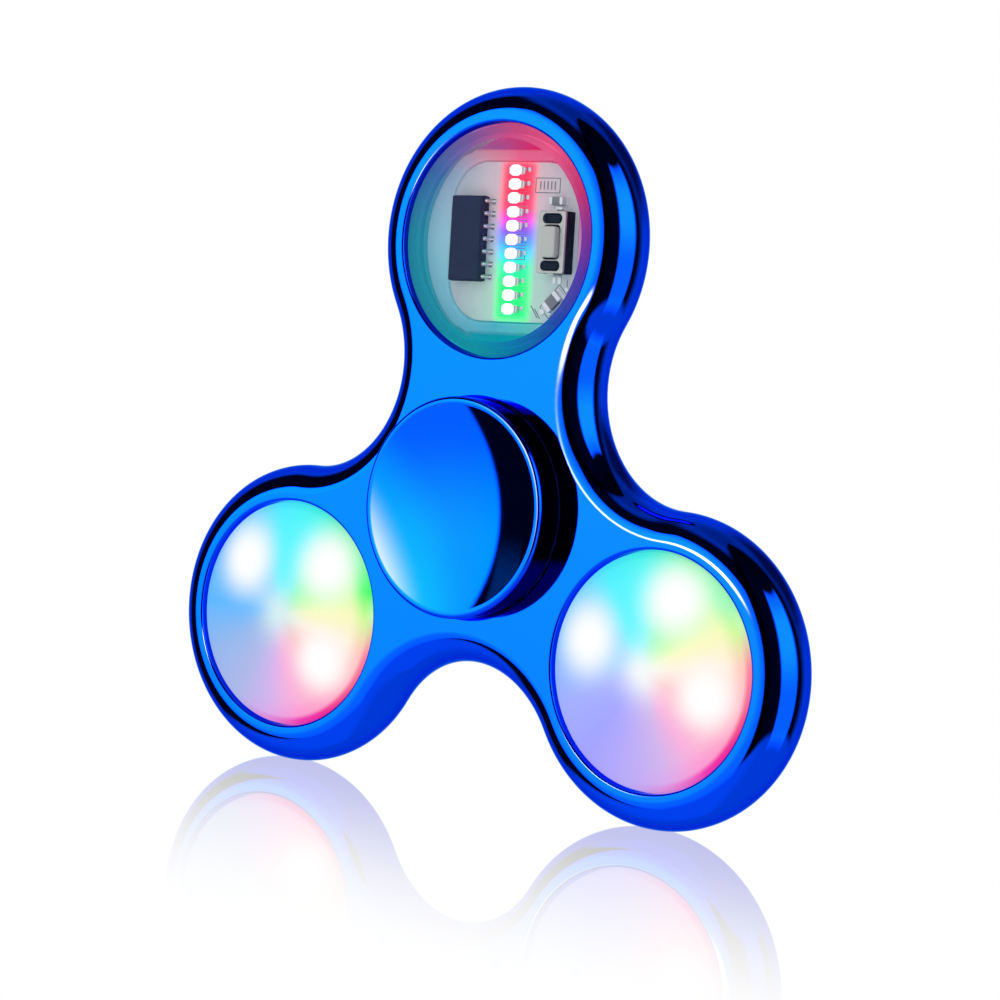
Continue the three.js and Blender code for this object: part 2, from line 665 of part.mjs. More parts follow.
// The controller: a moulded body with a row of bent pins on each side, joined as one piece.
function chipGeometry() {
  const bodyFront = BOARD_FRONT - CHIP.standoff - CHIP.depth;
  const body = box(
    CHIP.width,
    CHIP.depth,
    CHIP.height,
    CHIP.x,
    bodyFront + CHIP.depth / 2,
    CHIP.z,
  );
  const pins = [];
  const legTop = bodyFront + CHIP.depth / 2;
  for (const side of [-1, 1]) {
    for (let i = 0; i < CHIP.pins; i++) {
      const z = CHIP.z + CHIP.pitch * (i - (CHIP.pins - 1) / 2);
      const outer = side * (CHIP_SPAN / 2);
      const knee = side * (CHIP.width / 2 + 0.15);
      const shape = new THREE.Shape();
      shape.moveTo(side * (CHIP.width / 2 - 0.3), legTop);
      shape.lineTo(knee + side * PIN.thickness, legTop);
      shape.lineTo(outer - side * PIN.foot + side * PIN.thickness, BOARD_FRONT - PIN.thickness);
      shape.lineTo(outer, BOARD_FRONT - PIN.thickness);
      shape.lineTo(outer, BOARD_FRONT);
      shape.lineTo(outer - side * PIN.foot, BOARD_FRONT);
      shape.lineTo(knee, legTop + PIN.thickness);
      shape.lineTo(side * (CHIP.width / 2 - 0.3), legTop + PIN.thickness);
      shape.closePath();
      pins.push(
        new THREE.ExtrudeGeometry(shape, { depth: PIN.width, bevelEnabled: false })
          .translate(CHIP.x, 0, z - PIN.width / 2),
      );
    }
  }
  return join(body, ...pins);
}
add(message, "message_chip", chipGeometry(), chipBlack);

// The steel cover of the push switch, with openings for the button and the two posts.
function switchCover(x) {
  const sheet = box(
    SWITCH.width,
    SWITCH_COVER_THICKNESS - 0.02,
    SWITCH.height,
    x,
    SWITCH_TOP + SWITCH_COVER_THICKNESS / 2 - 0.01,
    0,
  );
  const openings = [
    box(BUTTON.width + 2 * BUTTON_GAP, 2, BUTTON.height + 2 * BUTTON_GAP, x, SWITCH_TOP, 0),
    ...[-1, 1].map((side) => {
      const shape = roundedRectangle(SWITCH_POST.width + 0.1, SWITCH_POST.height + 0.1, 0.45);
      return plate(shape, SWITCH_TOP - 1, SWITCH_TOP + 1, 2).translate(x, 0, side * SWITCH_POST.reach);
    }),
  ];
  return cut(sheet, ...openings);
}
add(message, "message_switch_cover", switchCover(MESSAGE_SWITCH_X), switchSteel);

for (const [name, part] of [["message_capacitor", CAPACITOR], ["message_resistor", RESISTOR]]) {
  const geometry = new THREE.BoxGeometry(part.width, part.depth, part.height);
  geometry.rotateY(radians(-part.turn));
  geometry.translate(part.x, BOARD_FRONT - part.depth / 2, part.z);
  add(message, name, geometry, partBrown);
}

// ---- Glow lobes ---------------------------------------------------------------------------------

const GLOW_COLOURS = ["#4f7dff", "#3dff6a", "#ff5a4a"];

// A round board goes in at any angle, so each lobe has its own turn.
function addGlowLobe(index, prefix, turn) {
  const lobe = lobeGroup(index);
  const group = turnedGroup(lobe, turn);
  addCommon(lobe, group, prefix, { lens: frostedPlastic, switchX: 0, withHolder: true });
  const board = turned([
    [0, BOARD_FRONT],
    [GLOW_BOARD_RADIUS, BOARD_FRONT],
    [GLOW_BOARD_RADIUS, BOARD_BACK],
    [0, BOARD_BACK],
  ]);
  add(group, `${prefix}_board`, board, boardWhite);
  const at = (degrees) => [
    GLOW_LIGHT_REACH * Math.cos(radians(degrees)),
    GLOW_LIGHT_REACH * Math.sin(radians(degrees)),
  ];
  GLOW_LIGHT_ANGLES.forEach((angle, i) => {
    const { side, depth } = GLOW_LIGHT;
    const [x, z] = at(angle);
    const body = box(side, depth, side, x, BOARD_FRONT - depth / 2, z);
    add(group, `${prefix}_led_${i + 1}`, body, lit(GLOW_COLOURS[i % GLOW_COLOURS.length]));
  });
  const [x, z] = at(GLOW_CHIP_ANGLE);
  const top = dome(GLOW_CHIP.radius, BOARD_FRONT - GLOW_CHIP.depth, BOARD_FRONT, 3);
  const blob = turned([...top, [0, BOARD_FRONT]], SMALL / 2).translate(x, 0, z);
  add(group, `${prefix}_chip`, blob, chipBlack);
}

addGlowLobe(1, "left_glow", -1);
addGlowLobe(2, "right_glow", 24);

export default spinner;
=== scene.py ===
"""The light-up hand spinner's finish: plated shell and finger caps, lenses, boards, lamps and studio."""
import math

import bpy
import numpy as np
from mathutils import Matrix, Vector
from mathutils.geometry import tessellate_polygon


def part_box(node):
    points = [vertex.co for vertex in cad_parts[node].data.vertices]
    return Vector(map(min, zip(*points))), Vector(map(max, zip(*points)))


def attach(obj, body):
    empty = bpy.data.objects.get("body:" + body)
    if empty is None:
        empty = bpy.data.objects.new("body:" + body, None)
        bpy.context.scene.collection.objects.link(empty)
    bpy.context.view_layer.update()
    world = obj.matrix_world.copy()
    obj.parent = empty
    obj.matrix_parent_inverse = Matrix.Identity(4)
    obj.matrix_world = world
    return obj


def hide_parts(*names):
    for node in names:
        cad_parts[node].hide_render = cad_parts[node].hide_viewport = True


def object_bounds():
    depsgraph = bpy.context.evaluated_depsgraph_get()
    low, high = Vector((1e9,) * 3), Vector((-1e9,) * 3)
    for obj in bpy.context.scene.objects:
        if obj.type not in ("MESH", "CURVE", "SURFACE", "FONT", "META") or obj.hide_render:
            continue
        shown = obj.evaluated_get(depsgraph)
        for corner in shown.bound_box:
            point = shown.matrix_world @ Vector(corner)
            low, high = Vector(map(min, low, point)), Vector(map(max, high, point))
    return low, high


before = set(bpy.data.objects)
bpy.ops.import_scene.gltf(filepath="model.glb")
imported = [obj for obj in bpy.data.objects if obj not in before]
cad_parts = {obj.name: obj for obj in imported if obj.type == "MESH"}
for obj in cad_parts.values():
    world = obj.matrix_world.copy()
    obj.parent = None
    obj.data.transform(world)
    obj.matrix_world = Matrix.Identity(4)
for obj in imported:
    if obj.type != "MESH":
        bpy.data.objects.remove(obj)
cad_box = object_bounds()
scene = bpy.context.scene
MM = 0.001

# ---- Places in millimetres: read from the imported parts, or repeated where no box gives them --------


def box_mm(node):
    """A part's lowest and highest corners in millimetres."""
    low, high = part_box(node)
    return np.array(low) / MM, np.array(high) / MM


def middle_mm(node):
    """The middle of a part's box in millimetres."""
    low, high = box_mm(node)
    return (low + high) / 2


LOBES = {"message": 90.0, "left_glow": 210.0, "right_glow": 330.0}
LOBE_MIDDLES = {name: middle_mm(f"{name}_back_cover")[[0, 2]] for name in LOBES}
LOBE_REACH = float(np.mean([np.hypot(*m) for m in LOBE_MIDDLES.values()]))
HALF = box_mm("body_frame")[1][1]  # half the body's thickness
LOBE_RADIUS = box_mm("body_frame")[1][2] - LOBE_REACH
WAIST_REACH = 15.7
BORE = 11.05
POCKET = 12.5
LENS_RADIUS = 11.65
LENS_RIM_Y = -3.0
LENS_CROWN_Y = box_mm("message_lens")[0][1]
BOARD_FRONT = box_mm("message_board")[0][1]
CAP_RADIUS = box_mm("finger_cap_front")[1][0]
CAP_RIM_Y = -box_mm("finger_cap_front")[0][1]
MESSAGE_TURN = 2.0
# On the message board, from its middle as x and z, before it is turned.
ROW_X, ROW_Z, ROW_PITCH = 0.15, 0.2, 1.39
CHIP_X, CHIP_Z, PIN_PITCH = -5.15, 0.2, 1.27
SWITCH_X, POST_REACH = 5.75, 2.35
CAPACITOR_PLACE = (5.4, 4.15)
RESISTOR_PLACE = (5.4, -5.85)
LABEL_X, LABEL_Z = 3.8, 5.7
GLOW_TURNS = {"left_glow": -1.0, "right_glow": 24.0}
WELD_STEPS = 1e7  # per metre: points in the same step of 0.1 micrometre are one

# ---- Surfaces -------------------------------------------------------------------------------------


def arc(x, y, radius, start, end, steps):
    """Points x + radius cos t, y + radius sin t, for t from start to end in degrees."""
    t = np.radians(np.linspace(start, end, steps + 1))
    return np.stack([x + radius * np.cos(t), y + radius * np.sin(t)], 1)


def rounded(corners, radii, steps=6):
    """A line through corners with each inner corner replaced by an arc tangent to both its sides: the
    arc starts at distance r tan(turn / 2) before the corner and its middle lies on the bisector."""
    corners = np.array(corners, float)
    made = [corners[:1]]
    for before, corner, after, radius in zip(corners, corners[1:], corners[2:], radii):
        u = (before - corner) / np.linalg.norm(before - corner)
        w = (after - corner) / np.linalg.norm(after - corner)
        half = math.acos(np.clip(u @ w, -1, 1)) / 2
        if radius <= 0 or half > 1.55:
            made.append(corner[None])
            continue
        centre = corner + (u + w) / np.linalg.norm(u + w) * radius / math.sin(half)
        start = corner + u * radius / math.tan(half) - centre
        end = corner + w * radius / math.tan(half) - centre
        a, b = math.atan2(start[1], start[0]), math.atan2(end[1], end[0])
        turn = (b - a + math.pi) % (2 * math.pi) - math.pi
        made.append(arc(*centre, radius, math.degrees(a), math.degrees(a + turn), steps))
    made.append(corners[-1:])
    return np.concatenate(made)


def dome(radius, top, edge, steps):
    """A sphere's cap as radius and y: r from 0 to radius, y = top + s (R - sqrt(R^2 - r^2)), where R is
    (radius^2 + rise^2) / (2 rise) and s points from top to edge."""
    rise = abs(edge - top)
    sphere = (radius**2 + rise**2) / (2 * rise)
    r = np.linspace(0, radius, steps + 1)
    return np.stack([r, top + np.sign(edge - top) * (sphere - np.sqrt(sphere**2 - r**2))], 1)


def turned(profile, middle=(0, 0), around=128):
    """A grid turned round Y: x = r cos a, y, z = r sin a, moved to the middle in x and z."""
    a = np.linspace(0, 2 * math.pi, around, endpoint=False)[:, None]
    r, y = profile[None, :, 0], profile[None, :, 1]
    return np.stack([middle[0] + r * np.cos(a), y + 0 * a, middle[1] + r * np.sin(a)], -1)


def grid_normals(points, closed):
    """Unit normals of a grid: the cross product of its slopes along the rows and the columns. closed
    says that the last row meets the first. A pole takes its neighbour's normal."""
    wide = np.concatenate([points[-2:], points, points[:2]]) if closed else points
    down = np.gradient(wide, axis=0, edge_order=2)
    down = down[2:-2] if closed else down
    across = np.gradient(points, axis=1, edge_order=2)
    n = np.cross(down, across)
    size = np.linalg.norm(n, axis=-1, keepdims=True)
    n = n / np.maximum(size, 1e-12)
    for column, beside in ((0, 1), (-1, -2)):
        if size[:, column].max() < 1e-6:
            n[:, column] = n[:, beside].mean(0) / np.linalg.norm(n[:, beside].mean(0))
    return n


def grid_patch(points, closed=True, flip=False):
    """A grid as points, normals and four-sided faces."""
    rows, columns = points.shape[:2]
    i, j = np.meshgrid(np.arange(rows if closed else rows - 1), np.arange(columns - 1), indexing="ij")
    k = (i + 1) % rows
    faces = np.stack([i * columns + j, k * columns + j, k * columns + j + 1, i * columns + j + 1], -1)
    faces, normals = faces.reshape(-1, 4), grid_normals(points, closed).reshape(-1, 3)
    if flip:
        faces, normals = faces[:, ::-1], -normals
    return points.reshape(-1, 3), normals, faces


def borders(grid):
    """A grid's first and last columns as x and z."""
    return grid[:, 0][:, [0, 2]], grid[:, -1][:, [0, 2]]


def flat_patch(loops, y, side):
    """A flat face at height y between an outer loop and the holes in it, all as x and z. side is -1 for
    a face that looks to the front."""
    flat = np.concatenate(loops)
    tris = np.array(tessellate_polygon([[Vector((x, z, 0)) for x, z in loop] for loop in loops]))
    a, b, c = (flat[tris[:, k]] for k in range(3))
    turn = (b - a)[:, 0] * (c - a)[:, 1] - (b - a)[:, 1] * (c - a)[:, 0]
    tris[turn * side > 0] = tris[turn * side > 0][:, ::-1]
    points = np.stack([flat[:, 0], np.full(len(flat), y), flat[:, 1]], 1)
    return points, np.tile([0.0, side, 0.0], (len(flat), 1)), np.column_stack([tris, tris[:, 2]])


def piece(name, patches, materials, body, stands_for=()):
    """One mesh of patches whose borders meet: equal points become one, and each corner keeps its
    patch's normal, so rounded faces run smoothly into flat ones. patches are (points, normals, faces)
    or the same with a material number."""
    points, normals, faces, numbers, base = [], [], [], [], 0
    for patch in patches:
        p, n, f = patch[:3]
        points.append(p), normals.append(n), faces.append(f + base)
        numbers.append(np.full(len(f), patch[3] if len(patch) > 3 else 0))
        base += len(p)
    points, normals = np.concatenate(points) * MM, np.concatenate(normals)
    faces, numbers = np.concatenate(faces), np.concatenate(numbers)
    _, first, same = np.unique(np.round(points * WELD_STEPS).astype(np.int64), axis=0, return_index=True,
                               return_inverse=True)
    same = same.reshape(-1)
    welded = same[faces]
    keep = welded != np.roll(welded, 1, axis=1)
    keep[welded[:, 0] == welded[:, 3], 0] = False
    sides = keep.sum(1)
    good = sides >= 3
    mesh = bpy.data.meshes.new(name)
    mesh.from_pydata(points[first].tolist(), [], [w[k].tolist() for w, k in zip(welded[good], keep[good])])
    mesh.polygons.foreach_set("material_index", numbers[good].astype(np.int32))
    mesh.shade_smooth()
    mesh.normals_split_custom_set(normals[faces[good]][keep[good]].tolist())
    for m in materials if isinstance(materials, (list, tuple)) else [materials]:
        mesh.materials.append(m)
    made = bpy.data.objects.new(name, mesh)
    scene.collection.objects.link(made)
    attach(made, body)
    if stands_for:
        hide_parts(*stands_for)


# ---- Materials ------------------------------------------------------------------------------------


def linear(hex_colour):
    """An sRGB hex colour as linear red, green, blue and 1."""
    c = np.array([int(hex_colour[i:i + 2], 16) for i in (1, 3, 5)]) / 255
    return (*np.where(c <= 0.04045, c / 12.92, ((c + 0.055) / 1.055) ** 2.4), 1.0)


def give(tree, made, **inputs):
    """Sets a node's inputs. Each is a value, or a node or socket to link from, a node standing for its
    first live output. Its key is the input's name with _ for a space, or its number after an i."""
    for key, value in inputs.items():
        socket = made.inputs[int(key[1:])] if key[1:].isdigit() else made.inputs[key.replace("_", " ")]
        if isinstance(value, bpy.types.Node):
            value = next(output for output in value.outputs if output.enabled)
        if isinstance(value, bpy.types.NodeSocket):
            tree.links.new(value, socket)
        else:
            socket.default_value = value


def node(tree, kind, settings=None, **inputs):
    """Adds a node with its settings and links. A word alone is its operation, and stops are a colour
    ramp's places and hex colours."""
    made = tree.nodes.new("ShaderNode" + kind)
    settings = {"operation": settings} if isinstance(settings, str) else dict(settings or {})
    for k, (at, colour) in enumerate(settings.pop("stops", [])):
        stops = made.color_ramp.elements
        stop = stops[k] if k < 2 else stops.new(at)
        stop.position, stop.color = at, linear(colour)
    for key, value in settings.items():
        setattr(made, key, value)
    give(tree, made, **inputs)
    return made


RGBA = {"data_type": "RGBA"}
SMOOTH = {"interpolation_type": "SMOOTHSTEP"}


def material(name):
    """A new material's node tree, its Principled shader and its Object coordinates."""
    made = bpy.data.materials.new(name)
    made.use_nodes = True
    tree = made.node_tree
    return made, tree, tree.nodes["Principled BSDF"], node(tree, "TexCoord").outputs["Object"]


# Blue electroplated ABS: bright nickel under a tinted lacquer, so a mirror that turns light blue. The
# lacquer flows out with a slow wave 9 mm long, and dust nibs 0.4 mm apart change its gloss a little.
PLATING_TINT = (0.0008, 0.055, 0.9)
plating, tree, shader, place = material("blue_electroplated_abs")
nibs = node(tree, "TexNoise", Vector=place, Scale=2500.0, Detail=1.0)
wave = node(tree, "TexNoise", Vector=place, Scale=110.0, Detail=0.0)
give(tree, shader, Base_Color=(*PLATING_TINT, 1), Specular_Tint=(0.12, 0.42, 1.0, 1), Metallic=1.0,
     Roughness=node(tree, "MapRange", Value=nibs, To_Min=0.025, To_Max=0.05),
     Normal=node(tree, "Bump", Height=wave, Strength=0.5, Distance=0.00002))

# Ground bearing steel: rings left by the wheel, drawn 0.3 mm apart, coarser than real ones.
bearing_steel, tree, shader, place = material("ground_bearing_steel")
flat = node(tree, "VectorMath", "MULTIPLY", i0=place, i1=(1, 0, 1))
reach = node(tree, "VectorMath", "LENGTH", i0=flat)
rings = node(tree, "TexNoise", {"noise_dimensions": "1D"}, W=reach, Scale=3300.0)
give(tree, shader, Base_Color=linear("#b4b8be"), Metallic=1.0,
     Roughness=node(tree, "MapRange", Value=rings, To_Min=0.12, To_Max=0.3))


def moulded(name, colour, rough, grain=0.4, depth=0.004, specks=0.06, shine=0.3):
    """Moulded or fired material with an even grain: its bumps are grain mm apart and depth mm high, and
    its colour and gloss drift by a share called specks. shine is its specular level."""
    made, tree, shader, place = material(name)
    fine = node(tree, "TexNoise", Vector=place, Scale=1000.0 / grain, Detail=2.0)
    slow = node(tree, "TexNoise", Vector=place, Scale=160.0, Detail=2.0)
    dark = tuple(c * (1 - 2 * specks) for c in linear(colour)[:3]) + (1,)
    give(tree, shader, Specular_IOR_Level=shine,
         Base_Color=node(tree, "Mix", RGBA, i0=slow, i6=linear(colour), i7=dark),
         Roughness=node(tree, "MapRange", Value=fine, To_Min=rough - 0.05, To_Max=rough + 0.05),
         Normal=node(tree, "Bump", Height=fine, Strength=0.6, Distance=depth * MM))
    return made


def pressed(name, colour, rough, spacing=0.25):
    """Plated sheet metal, bright, with rolling marks along X that are spacing mm apart."""
    made, tree, shader, place = material(name)
    lines = node(tree, "Mapping", Vector=place, Scale=(0.08, 1, 1))
    lines = node(tree, "TexNoise", Vector=lines, Scale=1000.0 / spacing, Detail=2.0)
    give(tree, shader, Base_Color=linear(colour), Metallic=1.0,
         Roughness=node(tree, "MapRange", Value=lines, To_Min=rough - 0.08, To_Max=rough + 0.08),
         Normal=node(tree, "Bump", Height=lines, Strength=0.3, Distance=0.000003))
    return made


# Satin white ABS from a spark-eroded mould: the back covers.
white_abs = moulded("satin_white_moulded_abs", "#eceeec", 0.4)
# Nylon as moulded: warm white, slightly waxy.
nylon = moulded("natural_moulded_nylon", "#e6e0d0", 0.5)
# Epoxy moulding compound of a chip: slate, matt, finely gritty.
chip_epoxy = moulded("matt_moulded_epoxy", "#323c58", 0.6, grain=0.25, depth=0.006, specks=0.1, shine=0.02)
# Glass-filled nylon of a switch's case, nearly black.
switch_black = moulded("black_moulded_nylon", "#1c2638", 0.5, shine=0.05)
# Acetal of the push buttons, smooth from the mould.
button_grey = moulded("light_grey_moulded_pom", "#c4c8c4", 0.4, shine=0.05)
# Printing on the board: matt, grey, a little uneven.
printed_ink = moulded("grey_screen_printed_ink", "#8a8e98", 0.6, grain=0.2, shine=0.02)
# High-temperature nylon round each lamp's window.
terminal_white = moulded("white_lamp_housing_ppa", "#e8ece8", 0.5, shine=0.05)
# Fired ceramic of the chip parts.
ceramic = moulded("fired_grey_ceramic", "#868c94", 0.5, shine=0.05)
# Solder left to flow: bright, faintly rippled.
solder = pressed("reflowed_tin_solder", "#d6dce2", 0.4)
# Tin-plated sheet steel: pale, softly bright.
cover_steel = pressed("tin_plated_sheet_steel", "#c0c4c0", 0.45)
# Nickel-plated steel of the button cells.
cell_steel = pressed("nickel_plated_can_steel", "#c3c6c8", 0.25)
# Phosphor bronze of the contacts: warm yellow.
bronze = pressed("stamped_phosphor_bronze", "#c9a25a", 0.3)


def polar(tree, place, middle, turn=0.0):
    """Angle round a point on the X and Z plane as a share of a turn, from the left and rising clockwise
    seen from the back, the distance from it in metres, and the place as turned about it."""
    moved = node(tree, "VectorMath", "SUBTRACT", i0=place, i1=(middle[0] * MM, 0, middle[1] * MM))
    flat = node(tree, "VectorMath", "MULTIPLY", i0=moved, i1=(1, 0, 1))
    swung = node(tree, "VectorRotate", {"rotation_type": "Y_AXIS"}, Vector=flat, Angle=math.radians(turn))
    x, _, z = node(tree, "SeparateXYZ", i0=swung).outputs
    angle = node(tree, "Math", "ARCTAN2", i0=z, i1=x)
    share = node(tree, "MapRange", Value=angle, From_Min=-math.pi, From_Max=math.pi)
    return share, node(tree, "VectorMath", "LENGTH", i0=flat), x, z


def around(degrees_and_colours):
    """A colour ramp's stops for a full turn from -180 to 180 degrees."""
    return {"stops": [((degrees + 180) / 360, colour) for degrees, colour in degrees_and_colours]}


def bell(tree, distance, width, power=2.0):
    """exp(-(distance / width) ^ power)."""
    share = node(tree, "Math", "DIVIDE", i0=distance, i1=width)
    share = node(tree, "Math", "POWER", i0=share, i1=power)
    return node(tree, "Math", "EXPONENT", i0=node(tree, "Math", "MULTIPLY", i0=share, i1=-1.0))


def lit_plastic(tree, shader, colour, base, glow):
    """Plastic with painted lamplight in it: its base colour is the light's colour times base, and it gives
    off that colour times glow, a painted glow, though the plastic is no lamp."""
    give(tree, shader, Base_Color=node(tree, "VectorMath", "SCALE", i0=colour, Scale=base),
         Emission_Color=node(tree, "VectorMath", "SCALE", i0=colour, Scale=glow), Emission_Strength=1.0)


def diffuser(name, middle, turn, cool, centre, green):
    """Milky polycarbonate, moulded smooth, with painted light from a blue, a green and a red lamp behind it.
    Round the lens the painted light runs through the mixtures of neighbours, paler to the middle; each
    lamp is a painted white core, exp(-(d / s)^3); and the light painted in the rim is stronger in colour."""
    made, tree, shader, place = material(name)
    share, reach, _, _ = polar(tree, place, middle, turn)
    lilac, pale_lilac, violet = cool
    wheel, edge, rim = (node(tree, "ValToRGB", around([
        (-180, lilac), (-150, pale_lilac), (-120, violet), *warm, (180, lilac)]), i0=share) for warm in (
            [(-98, "#d0b4ec"), (-76, "#f8b0dc"), (-45, "#ffb8c0"), (-12, "#fff0dc"), (8, "#f8fabc"),
             (26, "#c0ffa0"), (48, "#7dfdb0"), (72, "#5cf8f8"), (100, "#54f2fe"), (118, "#7ddcfe"),
             (148, "#90ccfe")],
            [(-98, "#d8acec"), (-76, "#fa9cd4"), (-45, "#ffa0c0"), (-14, "#ffc8bc"), (4, "#d2fa9c"),
             (20, green), (44, "#3cfa8c"), (72, "#50f6ea"), (100, "#4eeefe"), (118, "#76d8fe"),
             (148, "#80c4fe")],
            [(-98, "#e090dc"), (-74, "#f23cb4"), (-40, "#f50078"), (-14, "#ff8ca4"), (6, "#c8ffb4"),
             (18, green), (48, "#3cf58c"), (72, "#3cf0dc"), (100, "#46e4fc"), (118, "#6ed4fe"),
             (148, "#70bcfe")]))
    outward = node(tree, "MapRange", SMOOTH, Value=reach, From_Min=0.0088, From_Max=0.0108)
    colour = node(tree, "Mix", RGBA, i0=outward, i6=wheel, i7=edge)
    outward = node(tree, "MapRange", SMOOTH, Value=reach, From_Min=0.0107, From_Max=0.0113)
    colour = node(tree, "Mix", RGBA, i0=outward, i6=colour, i7=rim)
    colour = node(tree, "Mix", RGBA, i0=bell(tree, reach, 0.0026), i6=colour, i7=linear(centre))
    flat = node(tree, "VectorMath", "MULTIPLY", i0=place, i1=(1, 0, 1))
    for degrees, away, size in ((138.0, 7.6, 0.0036), (46.0, 7.8, 0.0037), (-37.0, 7.2, 0.0032)):
        t = math.radians(degrees + turn)
        at = ((middle[0] + away * math.cos(t)) * MM, 0, (middle[1] + away * math.sin(t)) * MM)
        core = bell(tree, node(tree, "VectorMath", "DISTANCE", i0=flat, i1=at), size, 3.0)
        colour = node(tree, "Mix", RGBA, i0=core, i6=colour, i7=(1, 1, 1, 1))
    lit_plastic(tree, shader, colour, 0.3, 0.72)
    give(tree, shader, Roughness=0.25, Specular_IOR_Level=0.02)
    return made


# Painted lamplight colours for each milky lens: three cool stops, the pale middle and the green.
PAINTED_LENS_LIGHT = {"left_glow": (("#60b8fe", "#98b8ec", "#b0b8e8"), "#d4eef0", "#3cff6a"),
         "right_glow": (("#a4b0fe", "#a4a4fe", "#bcacf6"), "#f4f8f8", "#a0fab8")}

# Clear polycarbonate, moulded smooth. Its index, 1.04, is a chosen value: the plastic's own is about
# 1.58, but the places of the parts behind were found as if nothing bent the view.
clear, tree, shader, place = material("clear_polished_polycarbonate")
give(tree, shader, Base_Color=(0.98, 0.99, 1.0, 1), Roughness=0.0, IOR=1.04, Transmission_Weight=1.0,
     Specular_IOR_Level=0.05)


def in_lamplight(name, base, glow, colours, **finish):
    """Plastic round the message board, coloured round the lobe by painted light from the lamps."""
    made, tree, shader, place = material(name)
    share = polar(tree, place, LOBE_MIDDLES["message"])[0]
    lit_plastic(tree, shader, node(tree, "ValToRGB", around(colours), i0=share), base, glow)
    give(tree, shader, **finish)
    return made


# The same polycarbonate in the lens's wall, where the lamps' light is painted on as colour and glow.
clear_wall = in_lamplight("clear_polycarbonate_wall_light", 0.35, 0.5, [
    (-180, "#2f9cb4"), (-140, "#2c9cb4"), (-105, "#16a8b8"), (-75, "#1484bc"), (-45, "#2850bc"),
    (-15, "#5a3cb4"), (8, "#8c3ca4"), (30, "#d84080"), (60, "#f46c9c"), (90, "#dc5a96"),
    (118, "#8a6cb4"), (145, "#4c7cbc"), (180, "#2f9cb4")],
    Roughness=0.1, IOR=1.04, Specular_IOR_Level=0.05, Transmission_Weight=0.4)

# White ABS of the tray and the well round it, with the lamps' light painted on: red over the top end of
# the row and green under the other end, paler on the tray's face than down in the well.
tray_abs = in_lamplight("white_abs_in_lamplight", 0.7, 0.34, [
    (-180, "#9cccdc"), (-130, "#80c4d8"), (-100, "#58bcd0"), (-75, "#5cccc8"), (-40, "#98ccdc"),
    (0, "#cc98c4"), (60, "#ec709c"), (90, "#ee6c98"), (115, "#e49cb0"), (140, "#acc0d4"),
    (180, "#9cccdc")], Roughness=0.42, Specular_IOR_Level=0.03)
well_abs = in_lamplight("white_abs_well_in_lamplight", 0.4, 0.7, [
    (-180, "#3c9cb0"), (-110, "#0ca4b4"), (-70, "#0cacac"), (-40, "#3070b8"), (0, "#8a3c9c"),
    (60, "#e0145c"), (90, "#e41c64"), (120, "#b0589a"), (150, "#5c8cb4"), (180, "#3c9cb0")],
    Roughness=0.42, Specular_IOR_Level=0.03)

# Glass-fibre board under white solder mask, with painted lamplight: along the row, in the lamps' own
# colours, a full band 5 mm wide, exp(-(d / s)^6), inside a pale haze, exp(-(d / s)^2), and a faint glow.
board_painted_glow, tree, shader, place = material("white_solder_mask_on_laminate")
_, _, x, z = polar(tree, place, LOBE_MIDDLES["message"], MESSAGE_TURN)
along = node(tree, "MapRange", Value=z, From_Min=-0.0085, From_Max=0.0085)
row_light = node(tree, "ValToRGB", {"stops": [
    (0.06, "#00f078"), (0.24, "#00f06e"), (0.36, "#10e8a0"), (0.44, "#18c8f0"), (0.5, "#2c8cff"),
    (0.56, "#7a4cff"), (0.63, "#f020c8"), (0.7, "#ff2064"), (0.82, "#ff1c48"), (0.96, "#ff2a5a")]}, i0=along)
aside = node(tree, "Math", "SUBTRACT", i0=x, i1=0.0002)
aside = node(tree, "Math", "ABSOLUTE", i0=aside)
ends = node(tree, "Math", "MULTIPLY",
            i0=node(tree, "MapRange", SMOOTH, Value=z, From_Min=-0.0094, From_Max=-0.0072),
            i1=node(tree, "MapRange", SMOOTH, Value=z, From_Min=0.0096, From_Max=0.0074))
band = node(tree, "Math", "MULTIPLY", i0=bell(tree, aside, 0.0025, 6.0), i1=ends)
haze = node(tree, "Math", "MULTIPLY", i0=bell(tree, aside, 0.0046), i1=0.34)
light = node(tree, "Math", "MAXIMUM", i0=node(tree, "Math", "MULTIPLY", i0=band, i1=0.96), i1=haze)
grain = node(tree, "TexNoise", Vector=place, Scale=900.0, Detail=3.0)
mask_colour = node(tree, "Mix", RGBA, i0=grain, i6=linear("#dce8f0"), i7=linear("#ccd8e2"))
board_colour = node(tree, "Mix", RGBA, i0=light, i6=mask_colour, i7=row_light)
lit_plastic(tree, shader, board_colour, 0.72, node(tree, "MapRange", Value=light, To_Min=0.1, To_Max=0.8))
give(tree, shader, Roughness=0.35, Specular_IOR_Level=0.03)

# Lamp windows: silicone over a lit die, far brighter than the board, so the middle clips to white.
lamp_windows = {}
LAMP_TINTS = {"red": (1.0, 0.05, 0.08), "magenta": (1.0, 0.1, 0.8), "violet": (0.4, 0.15, 1.0),
              "blue": (0.1, 0.35, 1.0), "cyan": (0.08, 0.75, 1.0), "green": (0.05, 1.0, 0.3)}
for colour_name, tint in LAMP_TINTS.items():
    made, tree, shader, place = material(f"{colour_name}_lamp_silicone_window")
    ripple = node(tree, "TexNoise", Vector=place, Scale=2500.0, Detail=1.0)
    give(tree, shader, Base_Color=(*tint, 1), Emission_Color=(*(0.45 + 0.55 * t for t in tint), 1),
         Emission_Strength=2.6, Roughness=node(tree, "MapRange", Value=ripple, To_Min=0.25, To_Max=0.35))
    lamp_windows[colour_name] = made


# ---- Body shell -----------------------------------------------------------------------------------


